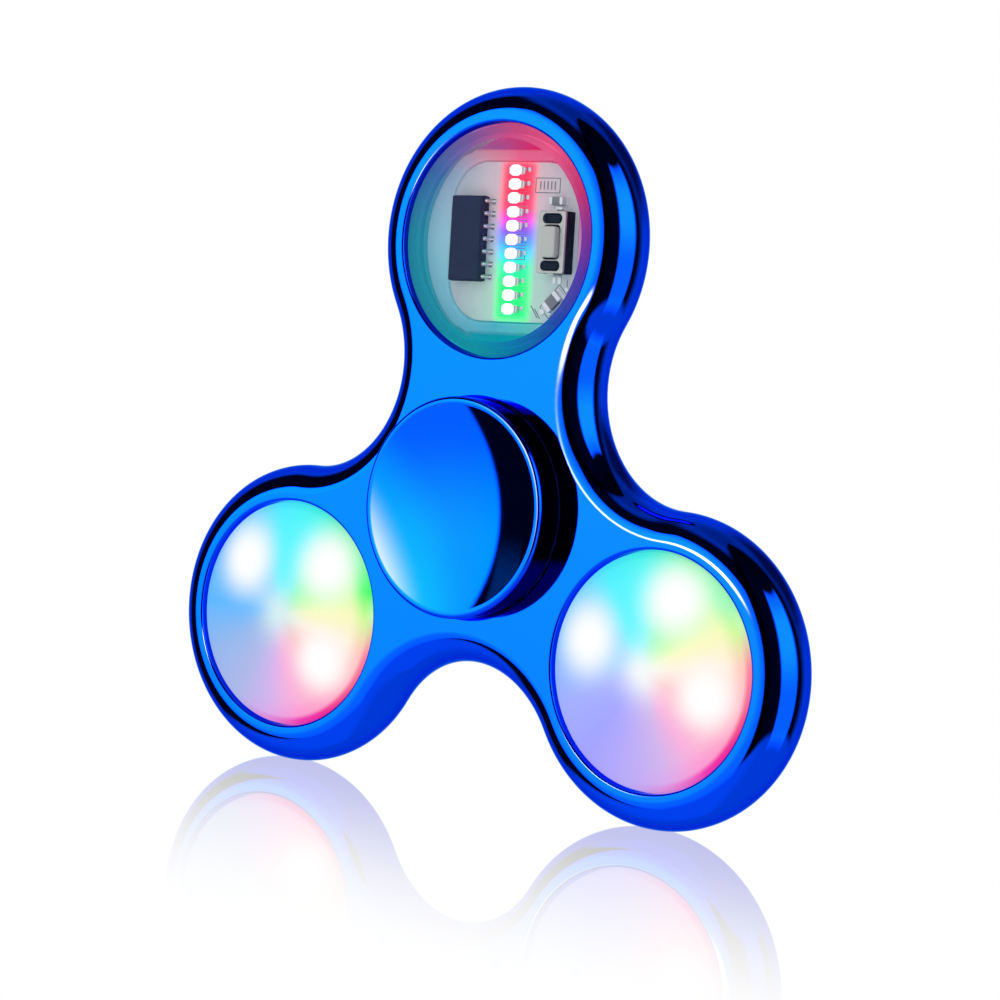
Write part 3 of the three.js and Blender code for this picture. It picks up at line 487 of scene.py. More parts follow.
def outline():
    """The plate's outline as points and outward normals: an arc round each lobe, and between two lobes
    an arc of the hollow's radius that is tangent to both."""
    hollow = (LOBE_REACH**2 + WAIST_REACH**2 - LOBE_REACH * WAIST_REACH - LOBE_RADIUS**2) / (
        2 * LOBE_RADIUS - 2 * WAIST_REACH + LOBE_REACH)
    reach = WAIST_REACH + hollow
    tangent = math.atan2(reach * math.sin(math.pi / 3), reach * math.cos(math.pi / 3) - LOBE_REACH)
    points, normals = [], []
    for degrees in LOBES.values():
        a = math.radians(degrees)
        t = np.linspace(a - tangent, a + tangent, 97)[:, None]
        n = np.hstack([np.cos(t), np.sin(t)])
        points.append(LOBE_REACH * np.array([math.cos(a), math.sin(a)]) + LOBE_RADIUS * n)
        normals.append(n)
        m = a + math.pi / 3
        t = np.linspace(a + tangent, 2 * m - a - tangent, 33)[1:-1, None]
        n = np.hstack([np.cos(t), np.sin(t)])
        points.append(reach * np.array([math.cos(m), math.sin(m)]) - hollow * n)
        normals.append(n)
    return np.concatenate(points), np.concatenate(normals)


def body_shell():
    """The plate: its edge is two quarter ellipses carried round the outline, point = outline - inset
    times normal, with inset = w (1 - sin t) and y = -h cos t; its faces are flat. The message lobe's
    pocket has the white finish with painted lamplight, so that no dark line shows round the tray. From
    behind it also shows, as a thin coloured line round that lobe's cover."""
    points, normals = outline()
    t = np.radians(np.linspace(0, 180, 49))
    width = np.where(t < math.pi / 2, 3.15, 2.9)
    inset = width * (1 - np.sin(t))
    ring = points[:, None] - inset[None, :, None] * normals[:, None]
    edge = np.stack([ring[..., 0], np.broadcast_to(-HALF * np.cos(t), ring.shape[:2]), ring[..., 1]], -1)
    patches = [grid_patch(edge, flip=True)]
    rim = rounded([(12.4, -HALF), (11.8, -HALF), (11.8, -2.1)], [0.3], 10)
    pocket = rounded([(11.8, -2.1), (POCKET, -2.1), (POCKET, HALF), (12.58, HALF)], [0.02, 0.06])
    bore = rounded([(11.35, -HALF), (BORE, -HALF + 0.3), (BORE, HALF - 0.3), (11.35, HALF)], [0.05, 0.05])
    fronts, backs = ([border] for border in borders(edge))
    holes = [(middle, (rim, pocket), int(lobe == "message")) for lobe, middle in LOBE_MIDDLES.items()]
    for middle, profiles, inside in [*holes, ((0, 0), (bore,), 0)]:
        walls = [turned(profile, middle, 240) for profile in profiles]
        patches += [(*grid_patch(wall), inside * k) for k, wall in enumerate(walls)]
        fronts.append(borders(walls[0])[0])
        backs.append(borders(walls[-1])[1])
    patches += [flat_patch(fronts, -HALF, -1), flat_patch(backs, HALF, 1)]
    piece("body_shell", patches, [plating, well_abs], "rotor", ["body_frame"])


body_shell()

# ---- Finger caps ----------------------------------------------------------------------------------


# The same bright plating on smooth ABS, given a much darker tint on the cap's side wall: painted shade
# for the shadowed gap round the cap. The darker tint is a choice made for the look.
shade_painted_plating, tree, shader, place = material("dark_blue_electroplated_abs")
nibs = node(tree, "TexNoise", Vector=place, Scale=2500.0, Detail=1.0)
give(tree, shader, Base_Color=(0.0006, 0.01, 0.13, 1), Specular_Tint=(0.05, 0.1, 0.4, 1), Metallic=1.0,
     Roughness=node(tree, "MapRange", Value=nibs, To_Min=0.04, To_Max=0.08))


def finger_cap(name, side):
    """A cap in front of the bearing: a hollow sphere's cap 1.3 mm deep, a rounded rim, a straight side."""
    dish = dome(10.5, CAP_RIM_Y - 1.3, CAP_RIM_Y, 60)
    rim = rounded([dish[-2], dish[-1], (CAP_RADIUS, CAP_RIM_Y), (CAP_RADIUS, HALF + 0.2),
                   (5.8, HALF + 0.2), (5.8, HALF + 0.05), (3.95, HALF + 0.05), (3.95, 0.1), (0, 0.1)],
                  [0.0, 0.4, 0.15, 0.05, 0.05, 0.05, 0.05])
    profile = np.concatenate([dish[:-2], rim])
    below = int(np.argmax((profile[:, 0] > CAP_RADIUS - 1e-6) & (profile[:, 1] <= CAP_RIM_Y - 0.3)))
    profile[:, 1] *= side
    # The side wall, material 1, takes the plating with painted shade.
    patches = [(*grid_patch(turned(part), flip=side < 0), k)
               for k, part in enumerate((profile[:below + 1], profile[below:]))]
    piece(name, patches, [plating, shade_painted_plating], "hub", [name.replace("_shell", "")])


finger_cap("finger_cap_front_shell", -1)
finger_cap("finger_cap_back_shell", 1)

# ---- Lenses ---------------------------------------------------------------------------------------


def lens(name, finish, middle, body):
    """A crowned cup: a sphere's cap over a flat ceiling, a straight wall and a flange behind the lip.
    finish is the crown's material, then the wall's."""
    ceiling = LENS_CROWN_Y + 1.7
    crown = dome(LENS_RADIUS - 0.1, LENS_CROWN_Y, LENS_RIM_Y, 48)
    wall = rounded([crown[-1], (LENS_RADIUS, LENS_RIM_Y + 0.1), (LENS_RADIUS, -2.05), (12.35, -2.05),
                    (12.35, -1.35), (10.75, -1.35), (10.75, ceiling), (10.2, ceiling)],
                   [0.05, 0.03, 0.05, 0.05, 0.05, 0.3], 8)
    under = np.stack([np.linspace(10.2, 0, 12), np.full(12, ceiling)], 1)
    patches = [(*grid_patch(turned(p, middle), flip=True), k) for p, k in ((crown, 0), (wall, 1), (under, 0))]
    piece(name, patches, finish, body, [name.replace("_shell", "")])


lens("message_lens_shell", [clear, clear_wall], LOBE_MIDDLES["message"],
     "message_lens_button")
for side in ("left", "right"):
    name = f"{side}_glow"
    # Each milky lens carries painted lamplight, not light cast by the lamps behind it.
    milky = diffuser(f"{side}_milky_polycarbonate_painted_light", LOBE_MIDDLES[name], GLOW_TURNS[name], *PAINTED_LENS_LIGHT[name])
    lens(f"{name}_lens_shell", [milky, milky], LOBE_MIDDLES[name], f"{side}_lens_button")

# ---- Back covers ----------------------------------------------------------------------------------


def back_cover(lobe, inside):
    """A shallow cap: a flat middle, an arc down to the skirt, and inside it a well for the cell. At the
    bottom the edge is cut back by 0.7 mm over 4 mm, to prise it out: radius - 0.7 f(x), where f is a
    smooth window."""
    cx, cz = LOBE_MIDDLES[lobe]
    low, high = box_mm(f"{lobe}_back_cover")
    crown, radius, skirt = high[1], (high[0] - low[0]) / 2, low[1]
    outer = rounded([(0, crown), (8.5, crown), (11.2, crown - 0.14), (radius, HALF + 0.12),
                     (radius, skirt), (11.25, skirt)], [4.0, 1.6, 0.12, 0.05], 10)
    inner = rounded([(11.25, skirt), (11.25, 3.0), (0, 3.0)], [0.4], 8)
    grid = turned(outer, (cx, cz), 240)
    r = np.hypot(grid[..., 0] - cx, grid[..., 2] - cz)
    nick = 1 / (1 + ((grid[..., 0] - cx) / 2.0) ** 12) * (grid[..., 2] < cz) * (r > 11.3)
    nick = nick * (1 / (1 + ((grid[..., 1] - HALF - 0.2) / 0.5) ** 8))
    scale = 1 - 0.7 * nick / np.maximum(r, 1)
    grid[..., 0] = cx + (grid[..., 0] - cx) * scale
    grid[..., 2] = cz + (grid[..., 2] - cz) * scale
    patches = [(*grid_patch(grid), 0), (*grid_patch(turned(inner, (cx, cz), 240)), 1)]
    piece(f"{lobe}_back_cover_shell", patches, [white_abs, inside], "rotor", [f"{lobe}_back_cover"])


back_cover("message", well_abs)
back_cover("left_glow", white_abs)
back_cover("right_glow", white_abs)

# ---- Small parts on the boards --------------------------------------------------------------------


def rounded_rectangle(width, height, corner, x=0.0, z=0.0, lean=0.0, steps=6):
    """A rectangle's outline with round corners, and its outward normals, counter-clockwise in x and z."""
    t = np.radians(np.concatenate([np.linspace(k, k + 90, steps + 1) for k in (0, 90, 180, 270)]))
    n = np.stack([np.cos(t), np.sin(t)], 1)
    quarter = np.repeat([[1, 1], [-1, 1], [-1, -1], [1, -1]], steps + 1, axis=0)
    p = quarter * (np.array([width, height]) / 2 - corner) + corner * n
    c, s = math.cos(math.radians(lean)), math.sin(math.radians(lean))
    spin = np.array([[c, s], [-s, c]])
    return p @ spin + (x, z), n @ spin


def side_patch(outline, profile, inward=False):
    """A wall round an outline: point = outline - inset times normal, at y, for each (inset, y). Round
    a hole, which is inward, the inset is added."""
    points, normals = outline
    profile = np.array(profile, float)
    ring = points[:, None] + (1 if inward else -1) * profile[None, :, :1] * normals[:, None]
    grid = np.stack([ring[..., 0], np.broadcast_to(profile[:, 1], ring.shape[:2]), ring[..., 1]], -1)
    return grid, grid_patch(grid, flip=not inward)


def closed_wall(outline, profile, holes=()):
    """A wall round an outline and round each hole in it, closed by flat faces at the profile's ends."""
    patches, fronts, backs = [], [], []
    for k, loop in enumerate([outline, *holes]):
        grid, wall = side_patch(loop, profile, inward=k > 0)
        front, back = borders(grid)
        patches.append(wall)
        fronts.append(front)
        backs.append(back)
    return patches + [flat_patch(fronts, profile[0][1], -1), flat_patch(backs, profile[-1][1], 1)]


def slab(outline, front, back, round_front=0.05, holes=()):
    """A plate between two heights. Its front edge is a quarter round; each hole goes right through."""
    edge = arc(round_front, front + round_front, round_front, 270, 180, 4)
    return closed_wall(outline, np.concatenate([edge, [(0, back)]]), holes)


def marked(patches, number):
    """Patches with a material number."""
    return [(*patch[:3], number) for patch in patches]


def placed(patches, about, turn=0.0):
    """Patches moved from a lobe's own place to the object's, turned about the lobe's middle."""
    t = math.radians(turn)
    spin = np.array([[math.cos(t), 0, -math.sin(t)], [0, 1, 0], [math.sin(t), 0, math.cos(t)]])
    return [(p[0] @ spin.T + (about[0], 0, about[1]), p[1] @ spin.T, *p[2:]) for p in patches]


def on_board(name, patches, materials, stands_for, body="rotor", lobe="message", turn=MESSAGE_TURN):
    """A piece whose patches are placed from a lobe's middle and turned with its board."""
    piece(name, placed(patches, LOBE_MIDDLES[lobe], turn), materials, body, stands_for)


BACK_OF_BOARD = BOARD_FRONT + 0.8
on_board("message_board_laminate", slab(rounded_rectangle(15.7, 16.0, 4.2, steps=16), BOARD_FRONT,
         BACK_OF_BOARD, 0.06), board_painted_glow, ["message_board"])


def tray():
    """A disc with a flat top and bottom: outline = circle cut at z = +-9.25 with round corners. An
    opening for the board goes right through it."""
    reach, half = 11.05, 18.5 / 2
    a = math.asin(half / reach)
    t = np.linspace(-a, a, 41)
    side = np.stack([reach * np.cos(t), reach * np.sin(t)], 1)
    right = side[(side[:, 1] > -half + 0.55) & (side[:, 1] < half - 0.55)]
    corner = arc(reach * math.cos(a) - 0.75, half - 0.8, 0.8, 38, 90, 8)
    points = np.concatenate([right, corner, corner[::-1] * (-1, 1), right[::-1] * (-1, 1),
                             corner * (-1, -1), corner[::-1] * (1, -1)])
    ahead = np.roll(points, -1, axis=0) - np.roll(points, 1, axis=0)
    normals = np.stack([ahead[:, 1], -ahead[:, 0]], 1)
    normals /= np.linalg.norm(normals, axis=1, keepdims=True)
    front, back = box_mm("message_tray")[0][1], box_mm("message_tray")[1][1]
    well = rounded_rectangle(16.0, 16.3, 4.35, steps=16)
    on_board("message_tray_moulding", slab((points, normals), front, back, 0.25, [well]), tray_abs,
             ["message_tray"])


tray()


def pin(x, z, side):
    """A bent terminal: a strip 0.42 mm wide whose outline in x and y runs out of the body, down in an S
    and flat along the board."""
    top, foot = BOARD_FRONT - 0.95, BOARD_FRONT - 0.02
    centre = rounded([(1.6, top), (2.1, top), (2.18, foot - 0.1), (2.65, foot - 0.1)], [0.14, 0.14], 5)
    slope = np.gradient(centre, axis=0)
    slope /= np.linalg.norm(slope, axis=1, keepdims=True)
    out = np.stack([-slope[:, 1], slope[:, 0]], 1) * 0.09
    loop = np.concatenate([centre + out, (centre - out)[::-1]])
    loop[:, 0] = x + side * loop[:, 0]
    across = np.array([z - 0.21, z, z + 0.21])
    grid = np.stack(np.broadcast_arrays(loop[:, :1], loop[:, 1:], across), -1)
    patches = [grid_patch(grid, flip=side < 0)]
    for k, way in ((0, -1), (2, 1)):
        n = len(centre)
        i = np.arange(n - 1)
        faces = np.stack([i, i + 1, 2 * n - 2 - i, 2 * n - 1 - i], 1)
        if (way > 0) == (side > 0):
            faces = faces[:, ::-1]
        patches.append((grid[:, k], np.tile([0.0, 0.0, way], (2 * n, 1)), faces))
    return patches


def chip():
    """A moulded body whose four sides lean in, by 8 degrees above the pins and 12 below."""
    back = BOARD_FRONT - 0.15
    front = back - 1.35
    outline = rounded_rectangle(3.9, 8.65, 0.12, CHIP_X, CHIP_Z, steps=3)
    half = front + 0.62
    profile = np.concatenate([arc(0.15, front + 0.07, 0.07, 270, 190, 4),
                              [(0.0, half), (0.0, half + 0.15), (0.12, back)]])
    pins, feet = [], []
    for side in (-1, 1):
        for z in (CHIP_Z + PIN_PITCH * k for k in range(-3, 4)):
            pins += pin(CHIP_X, z, side)
            feet += slab(rounded_rectangle(0.6, 0.6, 0.2, CHIP_X + side * 2.4, z, steps=3),
                         BOARD_FRONT - 0.06, BOARD_FRONT + 0.02, 0.05)
    patches = marked(closed_wall(outline, profile), 0) + marked(pins + feet, 1)
    on_board("message_controller", patches, [chip_epoxy, solder], ["message_chip"])


chip()


def push_switch():
    """The switch's black case, its pressed cover with a window for the button and one for each post,
    and the button."""
    x, top = SWITCH_X, BOARD_FRONT - 1.3
    case = slab(rounded_rectangle(3.3, 6.2, 0.15, x), top, BOARD_FRONT, 0.05)
    posts = []
    for side in (-1, 1):
        shape = rounded_rectangle(2.2, 0.85, 0.4, x, side * POST_REACH)
        posts += slab(shape, top - 0.2, top + 0.1, 0.12)
    on_board("message_switch_case", case + posts, switch_black, ["message_switch_body"])
    holes = [rounded_rectangle(2.0, 3.4, 0.4, x)] + [
        rounded_rectangle(2.35, 0.98, 0.45, x, side * POST_REACH) for side in (-1, 1)]
    cover = slab(rounded_rectangle(3.3, 6.2, 0.2, x), top - 0.25, top - 0.01, 0.1, holes)
    tabs = [p for end in (-1, 1) for p in slab(rounded_rectangle(0.9, 0.2, 0.05, x, end * 3.16), top - 0.1,
                                               BOARD_FRONT, 0.04)]
    on_board("message_switch_top", cover + tabs, cover_steel, ["message_switch_cover"])
    low, high = box_mm("message_switch_button")
    button = slab(rounded_rectangle(1.7, 3.1, 0.35, x), low[1], high[1], 0.18)
    on_board("message_switch_key", button, button_grey, ["message_switch_button"],
             "message_switch_plunger")


push_switch()

ROW = ["red"] * 4 + ["magenta", "violet", "blue", "cyan"] + ["green"] * 3


def lamp(index, colour_name):
    """One lamp of the row: a white housing, a domed window that fills most of it, and a tinned
    terminal at each end."""
    x, z = ROW_X, ROW_Z + ROW_PITCH * (5 - index)
    front = BOARD_FRONT - 0.6
    housing = slab(rounded_rectangle(1.5, 0.8, 0.08, x, z, steps=3), front + 0.06, BOARD_FRONT, 0.04)
    outline = rounded_rectangle(1.42, 1.1, 0.46, x - 0.08, z)
    rise = np.radians(np.linspace(90, 0, 7))
    profile = np.stack([0.4 * (1 - np.cos(rise)), front + 0.08 - 0.2 * np.sin(rise)], 1)
    window = closed_wall(outline, profile)
    ends = [p for side in (-1, 1)
            for p in slab(rounded_rectangle(0.34, 0.7, 0.08, x + side * 0.82, z, steps=3), front + 0.16,
                          BOARD_FRONT, 0.06)]
    on_board(f"message_lamp_{index + 1}", marked(housing, 0) + marked(window, 1) + marked(ends, 2),
             [terminal_white, lamp_windows[colour_name], solder], [f"message_led_{index + 1}"])


for index, colour_name in enumerate(ROW):
    lamp(index, colour_name)


def chip_part(name, node_name, width, height, place, lean):
    """A ceramic chip part: a body between two tinned ends, on its solder."""
    x, z = place
    front = box_mm(node_name)[0][1]
    c, s = math.cos(math.radians(lean)), math.sin(math.radians(lean))

    def pair(wide, high, corner, away, top, bottom, edge):
        """A slab on each side of the middle, along the part."""
        return [p for side in (-1, 1) for p in slab(rounded_rectangle(
            wide, high, corner, x + side * c * away, z + side * s * away, lean, 3), top, bottom, edge)]

    core = slab(rounded_rectangle(width * 0.6, height, 0.04, x, z, lean, 3), front, BOARD_FRONT, 0.04)
    tins = pair(width * 0.26, height * 1.02, 0.1, width * 0.4, front - 0.02, BOARD_FRONT, 0.08)
    tins += pair(width * 0.4, height * 1.15, 0.15, width * 0.48, BOARD_FRONT - 0.08, BOARD_FRONT + 0.02, 0.07)
    on_board(name, marked(core, 0) + marked(tins, 1), [ceramic, solder], [node_name])


chip_part("message_capacitor_body", "message_capacitor", 1.6, 0.8, CAPACITOR_PLACE, 0.0)
chip_part("message_resistor_body", "message_resistor", 2.0, 1.2, RESISTOR_PLACE, 45.0)


def pads_and_print():
    """Free solder pads, and printing that stands 0.03 mm proud: a label's frame with five bars, frames
    round four of the lamps and round the resistor, and three short marks."""
    pads = [(5.4, 3.48, 0.9, 0.45, 0), (5.3, -3.7, 0.45, 0.8, 0), (5.95, -3.7, 0.45, 0.8, 0),
            (4.0, -6.9, 0.6, 0.6, 45), (6.9, -4.6, 0.5, 0.5, 45)]
    pads += [(1.42, ROW_Z + ROW_PITCH * k + 0.12, 0.42, 0.5, 0) for k in range(-5, 6)]
    metal, ink = [], []
    for x, z, w, h, lean in pads:
        shape = rounded_rectangle(w, h, 0.15, x, z, lean, 3)
        metal += slab(shape, BOARD_FRONT - 0.1, BOARD_FRONT + 0.02, 0.08)
    frames = [(LABEL_X, LABEL_Z, 3.1, 1.55, 0, 0.09), (*RESISTOR_PLACE, 3.3, 1.7, 45, 0.08)]
    frames += [(0.3, ROW_Z + ROW_PITCH * k, 2.3, 1.22, 0, 0.09) for k in (-1, 0, 1, 2)]
    bars = [(LABEL_X - 0.9 + 0.45 * k, LABEL_Z, 0.14, 0.85, 0) for k in range(5)]
    bars += [(3.0, -6.9, 0.1, 1.5, 35), (3.4, -7.1, 0.1, 1.2, 35), (6.9, -4.0, 0.1, 0.8, 0)]
    printed = [(rounded_rectangle(w, h, 0.12, x, z, lean, 3),
                [rounded_rectangle(w - 2 * line, h - 2 * line, 0.05, x, z, lean, 3)])
               for x, z, w, h, lean, line in frames]
    printed += [(rounded_rectangle(w, h, 0.04, x, z, lean, 3), ()) for x, z, w, h, lean in bars]
    for shape, holes in printed:
        ink += slab(shape, BOARD_FRONT - 0.03, BOARD_FRONT + 0.01, 0.005, holes)
    on_board("message_solder_pads", metal, solder, [])
    on_board("message_printing", ink, printed_ink, [])


pads_and_print()

# ---- Finishes for the parts that keep their shape -------------------------------------------------

lit_board = moulded("white_solder_mask", "#e2e4de", 0.35)
KEPT = {"bearing_cage": nylon, "bearing": bearing_steel, "cell": cell_steel, "contact": bronze,
        "glow_board": lit_board, "glow_chip": chip_epoxy, "glow_switch_body": switch_black,
        "glow_switch_button": button_grey, "glow_led_1": lamp_windows["blue"],
        "glow_led_2": lamp_windows["green"], "glow_led_3": lamp_windows["red"], "body_frame": plating,
        "finger_cap": plating}
for name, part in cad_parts.items():
    finish = next((m for key, m in KEPT.items() if key in name), white_abs)
    part.data.materials.clear()
    part.data.materials.append(finish)

# ---- Studio ---------------------------------------------------------------------------------------


def sky(tree, direction):
    """Azimuth (0 in front, 90 to the right) and elevation of a direction, in degrees."""
    x, y, z = node(tree, "SeparateXYZ", i0=direction).outputs
    azimuth = node(tree, "Math", "ARCTAN2", i0=x, i1=node(tree, "Math", "MULTIPLY", i0=y, i1=-1.0))
    elevation = node(tree, "Math", "ARCSINE", i0=z)
    return [node(tree, "Math", "DEGREES", i0=angle) for angle in (azimuth, elevation)]


def window(tree, value, low, high, soft_low, soft_high):
    """1 between two limits and 0 outside, smooth over +-soft at each."""
    above = node(tree, "MapRange", SMOOTH, Value=value, From_Min=low - soft_low, From_Max=low + soft_low)
    below = node(tree, "MapRange", SMOOTH, Value=value, From_Min=high + soft_high, From_Max=high - soft_high)
    return node(tree, "Math", "MULTIPLY", i0=above, i1=below)


def studio():
    """A room as a mirror sees it: a dark surround from the left to the right, two soft boxes in it, dim
    walls behind, a dim ceiling and a pale floor. Clear plastic, the floor's sharp gloss and everything
    matt see plain white. Each soft box and each dark wall is a window in azimuth times a window in
    elevation. The left box's side is bowed, at azimuth - 0.015 elevation^2 = -52, and its top slopes,
    at elevation + 0.25 azimuth = 24."""
    world = bpy.data.worlds.new("studio")
    scene.world = world
    world.use_nodes = True
    tree = world.node_tree
    azimuth, elevation = sky(tree, node(tree, "TexCoord").outputs["Generated"])

    def panel(across, up, strength, base=None):
        """strength times the window; with a base, the base dimmed by it."""
        lit = node(tree, "Math", "MULTIPLY", i0=window(tree, azimuth, *across),
                   i1=window(tree, elevation, *up))
        if base is None:
            return node(tree, "Math", "MULTIPLY", i0=lit, i1=strength)
        kept = node(tree, "MapRange", Value=lit, To_Min=1.0, To_Max=1.0 - strength)
        return node(tree, "Math", "MULTIPLY", i0=base, i1=kept)

    level = node(tree, "MapRange", SMOOTH, Value=elevation, From_Min=45.0, From_Max=80.0,
                 To_Min=0.75, To_Max=0.25)
    level = node(tree, "Math", "ADD", i0=level, i1=panel((-75, 25, 25, 20), (-95, -30, 1, 8), 0.2))
    for across, up, strength in (((-88, 20, 8, 8), (-29, 61, 3, 8), 0.985),
                                 ((4, 140, 8, 14), (-29, 95, 3, 1), 0.985),
                                 ((140, 200, 14, 1), (16, 62, 12, 12), 0.9),
                                 ((-220, -165, 1, 16), (16, 62, 12, 12), 0.9)):
        level = panel(across, up, strength, level)
    bow = node(tree, "Math", "MULTIPLY", i0=elevation, i1=elevation)
    bow = node(tree, "Math", "MULTIPLY", i0=bow, i1=0.015)
    side = node(tree, "Math", "SUBTRACT", i0=azimuth, i1=bow)
    side = node(tree, "MapRange", SMOOTH, Value=side, From_Min=-53.0, From_Max=-51.0)
    top = node(tree, "Math", "ADD", i0=elevation, i1=node(tree, "Math", "MULTIPLY", i0=azimuth, i1=0.25))
    top = node(tree, "MapRange", SMOOTH, Value=top, From_Min=26.0, From_Max=22.0)
    left_box = node(tree, "Math", "ADD", i0=panel((-70, -1, 1, 3), (-30, 60, 6, 2), 2.0),
                    i1=panel((-70, -18, 1, 16), (-8, 26, 12, 10), 3.6))
    left_box = node(tree, "Math", "MULTIPLY", i0=left_box, i1=node(tree, "Math", "MULTIPLY", i0=side, i1=top))
    for box in (left_box, panel((60, 114, 3, 3), (-34, 51, 7, 3), 2.0),
                panel((60, 114, 6, 8), (6, 42, 14, 10), 2.8)):
        level = node(tree, "Math", "ADD", i0=level, i1=box)
    path = node(tree, "LightPath")
    sharp = node(tree, "Math", "MAXIMUM", i0=path.outputs["Is Singular Ray"],
                 i1=path.outputs["Is Transmission Ray"])
    mirror = node(tree, "Math", {"operation": "SUBTRACT", "use_clamp": True},
                  i0=path.outputs["Is Glossy Ray"], i1=sharp)
    level = node(tree, "Mix", {"data_type": "FLOAT"}, i0=mirror, i2=1.0, i3=level)
    give(tree, tree.nodes["Background"], Strength=level, Color=(1, 1, 1, 1))


def lamp_for(name, pieces, place, size, brightness):
    """A flat light at a place in millimetres, which faces the spinner and lights only the named pieces.
    Its colour is the plating's own turned round, so its mirror image is neutral. brightness(tree,
    azimuth, elevation, x, z) is how white and how cyan the image is: its red is white, its green is
    0.65 white + 0.24 cyan and its blue is 4.5 white, past what the studio gives."""
    light = bpy.data.lights.new(name, "AREA")
    light.shape, light.size = "SQUARE", size * MM
    light.energy = math.pi * (size * MM) ** 2
    light.use_nodes = True
    tree = light.node_tree
    position = node(tree, "NewGeometry").outputs["Position"]
    x, _, z = node(tree, "SeparateXYZ", i0=position).outputs
    toward = sky(tree, node(tree, "VectorMath", "NORMALIZE", i0=position))
    white, cyan = brightness(tree, *toward, x, z)
    red = node(tree, "Math", "DIVIDE", i0=white, i1=PLATING_TINT[0])
    green = node(tree, "Math", "ADD", i0=node(tree, "Math", "MULTIPLY", i0=white, i1=0.65 / PLATING_TINT[1]),
                 i1=node(tree, "Math", "MULTIPLY", i0=cyan, i1=0.24 / PLATING_TINT[1]))
    blue = node(tree, "Math", "MULTIPLY", i0=white, i1=4.5 / PLATING_TINT[2])
    colour = node(tree, "CombineColor", i0=red, i1=green, i2=blue)
    give(tree, tree.nodes["Emission"], Color=colour, Strength=1.0)
    made = bpy.data.objects.new(name, light)
    made.location = Vector(place) * MM
    made.rotation_euler = made.location.to_track_quat("Z", "Y").to_euler()
    made.visible_camera = made.visible_diffuse = made.visible_transmission = False
    scene.collection.objects.link(made)
    lit = bpy.data.collections.new(name)
    for piece_name in pieces:
        lit.objects.link(bpy.data.objects[piece_name])
    made.light_linking.receiver_collection = lit


EDGE_LIGHT = (-16.0, -88.0, 5.0)
SPOT_WIDE, SPOT_HIGH = 20.0, 6.0


def spot_brightness(tree, azimuth, elevation, x, z):
    """2.4 exp(-d^4), d being the distance from the middle over 20 mm across and 6 mm up."""
    squares = []
    for along, centre, size in ((x, EDGE_LIGHT[0], SPOT_WIDE), (z, EDGE_LIGHT[2], SPOT_HIGH)):
        share = node(tree, "Math", "DIVIDE", i0=node(tree, "Math", "SUBTRACT", i0=along, i1=centre * MM),
                     i1=size * MM)
        squares.append(node(tree, "Math", "MULTIPLY", i0=share, i1=share))
    d = node(tree, "Math", "ADD", i0=squares[0], i1=squares[1])
    white = node(tree, "Math", "MULTIPLY", i0=bell(tree, d, 1.0), i1=2.4)
    return white, node(tree, "Math", "MULTIPLY", i0=white, i1=2.0)


def sheet_brightness(tree, azimuth, elevation, x, z):
    """White past a slanting line, u = 0.75 azimuth + 0.65 elevation, as (smooth step of u)^1.6, with cyan
    on a wider step before it, and a faint grey band at the left."""
    u = node(tree, "Math", "ADD", i0=node(tree, "Math", "MULTIPLY", i0=azimuth, i1=0.75),
             i1=node(tree, "Math", "MULTIPLY", i0=elevation, i1=0.65))
    rise = node(tree, "MapRange", SMOOTH, Value=u, From_Min=-16.0, From_Max=-3.0)
    rise = node(tree, "Math", "POWER", i0=rise, i1=1.6)
    wide = node(tree, "MapRange", SMOOTH, Value=u, From_Min=-29.0, From_Max=-8.0)
    lit = node(tree, "Math", "MULTIPLY", i0=window(tree, azimuth, -48, 0, 3, 3),
               i1=window(tree, elevation, -40, 24, 3, 2))
    grey = node(tree, "Math", "MULTIPLY", i0=window(tree, azimuth, -68, -53, 2, 1),
                i1=window(tree, elevation, 3, 13, 4, 2))
    white = node(tree, "Math", "ADD", i0=node(tree, "Math", "MULTIPLY", i0=rise, i1=lit),
                 i1=node(tree, "Math", "MULTIPLY", i0=grey, i1=0.025))
    return white, node(tree, "Math", "MULTIPLY", i0=wide, i1=lit)


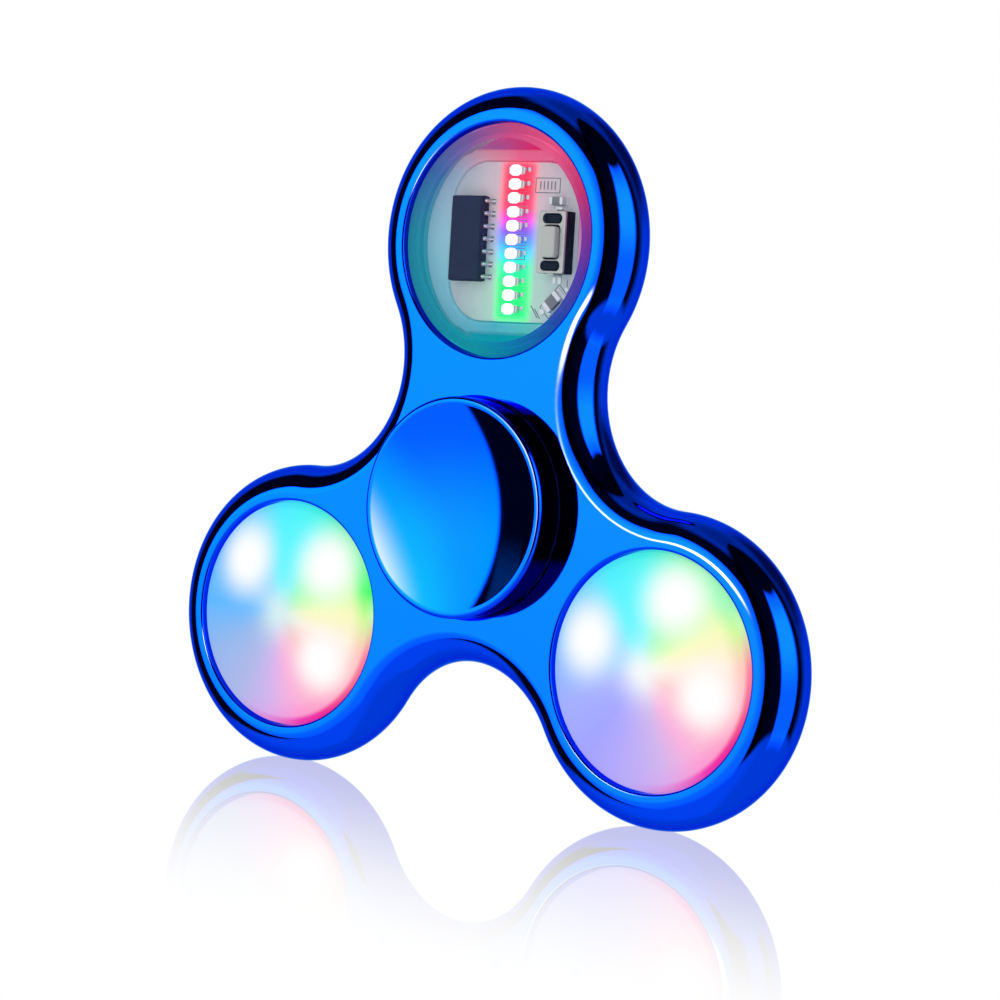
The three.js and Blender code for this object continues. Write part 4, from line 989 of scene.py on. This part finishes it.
def floor():
    """A white sheet under the spinner. In front of it the sheet is polished, and its reflection fades
    out over 75 mm."""
    made, tree, _, place = material("white_gloss_acrylic_sheet")
    y = node(tree, "SeparateXYZ", i0=place).outputs[1]
    front = node(tree, "MapRange", SMOOTH, Value=y, From_Min=-0.075, From_Max=0.0)
    back = node(tree, "MapRange", SMOOTH, Value=y, From_Min=0.004, From_Max=0.02, To_Min=0.46, To_Max=0.0)
    share = node(tree, "Math", "MULTIPLY", i0=front, i1=back)
    white = node(tree, "MapRange", Value=share, To_Min=1.0, To_Max=0.0)
    glow = node(tree, "Emission", Color=(1, 1, 1, 1), Strength=white)
    tint = node(tree, "CombineColor", i0=share, i1=share, i2=share)
    gloss = node(tree, "BsdfGlossy", Color=tint, Roughness=0.0)
    give(tree, tree.nodes["Material Output"], Surface=node(tree, "AddShader", i0=glow, i1=gloss))
    mesh = bpy.data.meshes.new("floor")
    z = cad_box[0][2]
    mesh.from_pydata([(-20, -20, z), (20, -20, z), (20, 20, z), (-20, 20, z)], [], [(0, 1, 2, 3)])
    mesh.materials.append(made)
    sheet = bpy.data.objects.new("floor", mesh)
    scene.collection.objects.link(sheet)
    sheet.visible_glossy = sheet.visible_diffuse = sheet.visible_transmission = False


def camera():
    """A long lens about level with the spinner, to the right of its front, leaning 5 degrees."""
    azimuth, elevation, roll = (math.radians(d) for d in (37.466, 3.033, 5.054))
    back = Vector((math.sin(azimuth) * math.cos(elevation), -math.cos(azimuth) * math.cos(elevation),
                   math.sin(elevation)))
    level = Vector((math.cos(azimuth), math.sin(azimuth), 0))
    up = back.cross(level)
    right = level * math.cos(roll) + up * math.sin(roll)
    above = -level * math.sin(roll) + up * math.cos(roll)
    data = bpy.data.cameras.new("camera")
    data.sensor_width, data.lens = 36.0, 123.0
    data.clip_start, data.clip_end = 0.01, 100.0
    made = bpy.data.objects.new("camera", data)
    scene.collection.objects.link(made)
    place = Vector((3.142, -2.976, 1.128)) * MM + back * 341.2 * MM
    made.matrix_world = Matrix.Translation(place) @ Matrix((right, above, back)).transposed().to_4x4()
    scene.camera = made


studio()
lamp_for("edge_light", ["body_shell"], EDGE_LIGHT, 80, spot_brightness)
lamp_for("dish_light", ["finger_cap_front_shell"], (-400, -900, 100), 1500, sheet_brightness)
floor()
camera()
scene.view_settings.view_transform = "Standard"
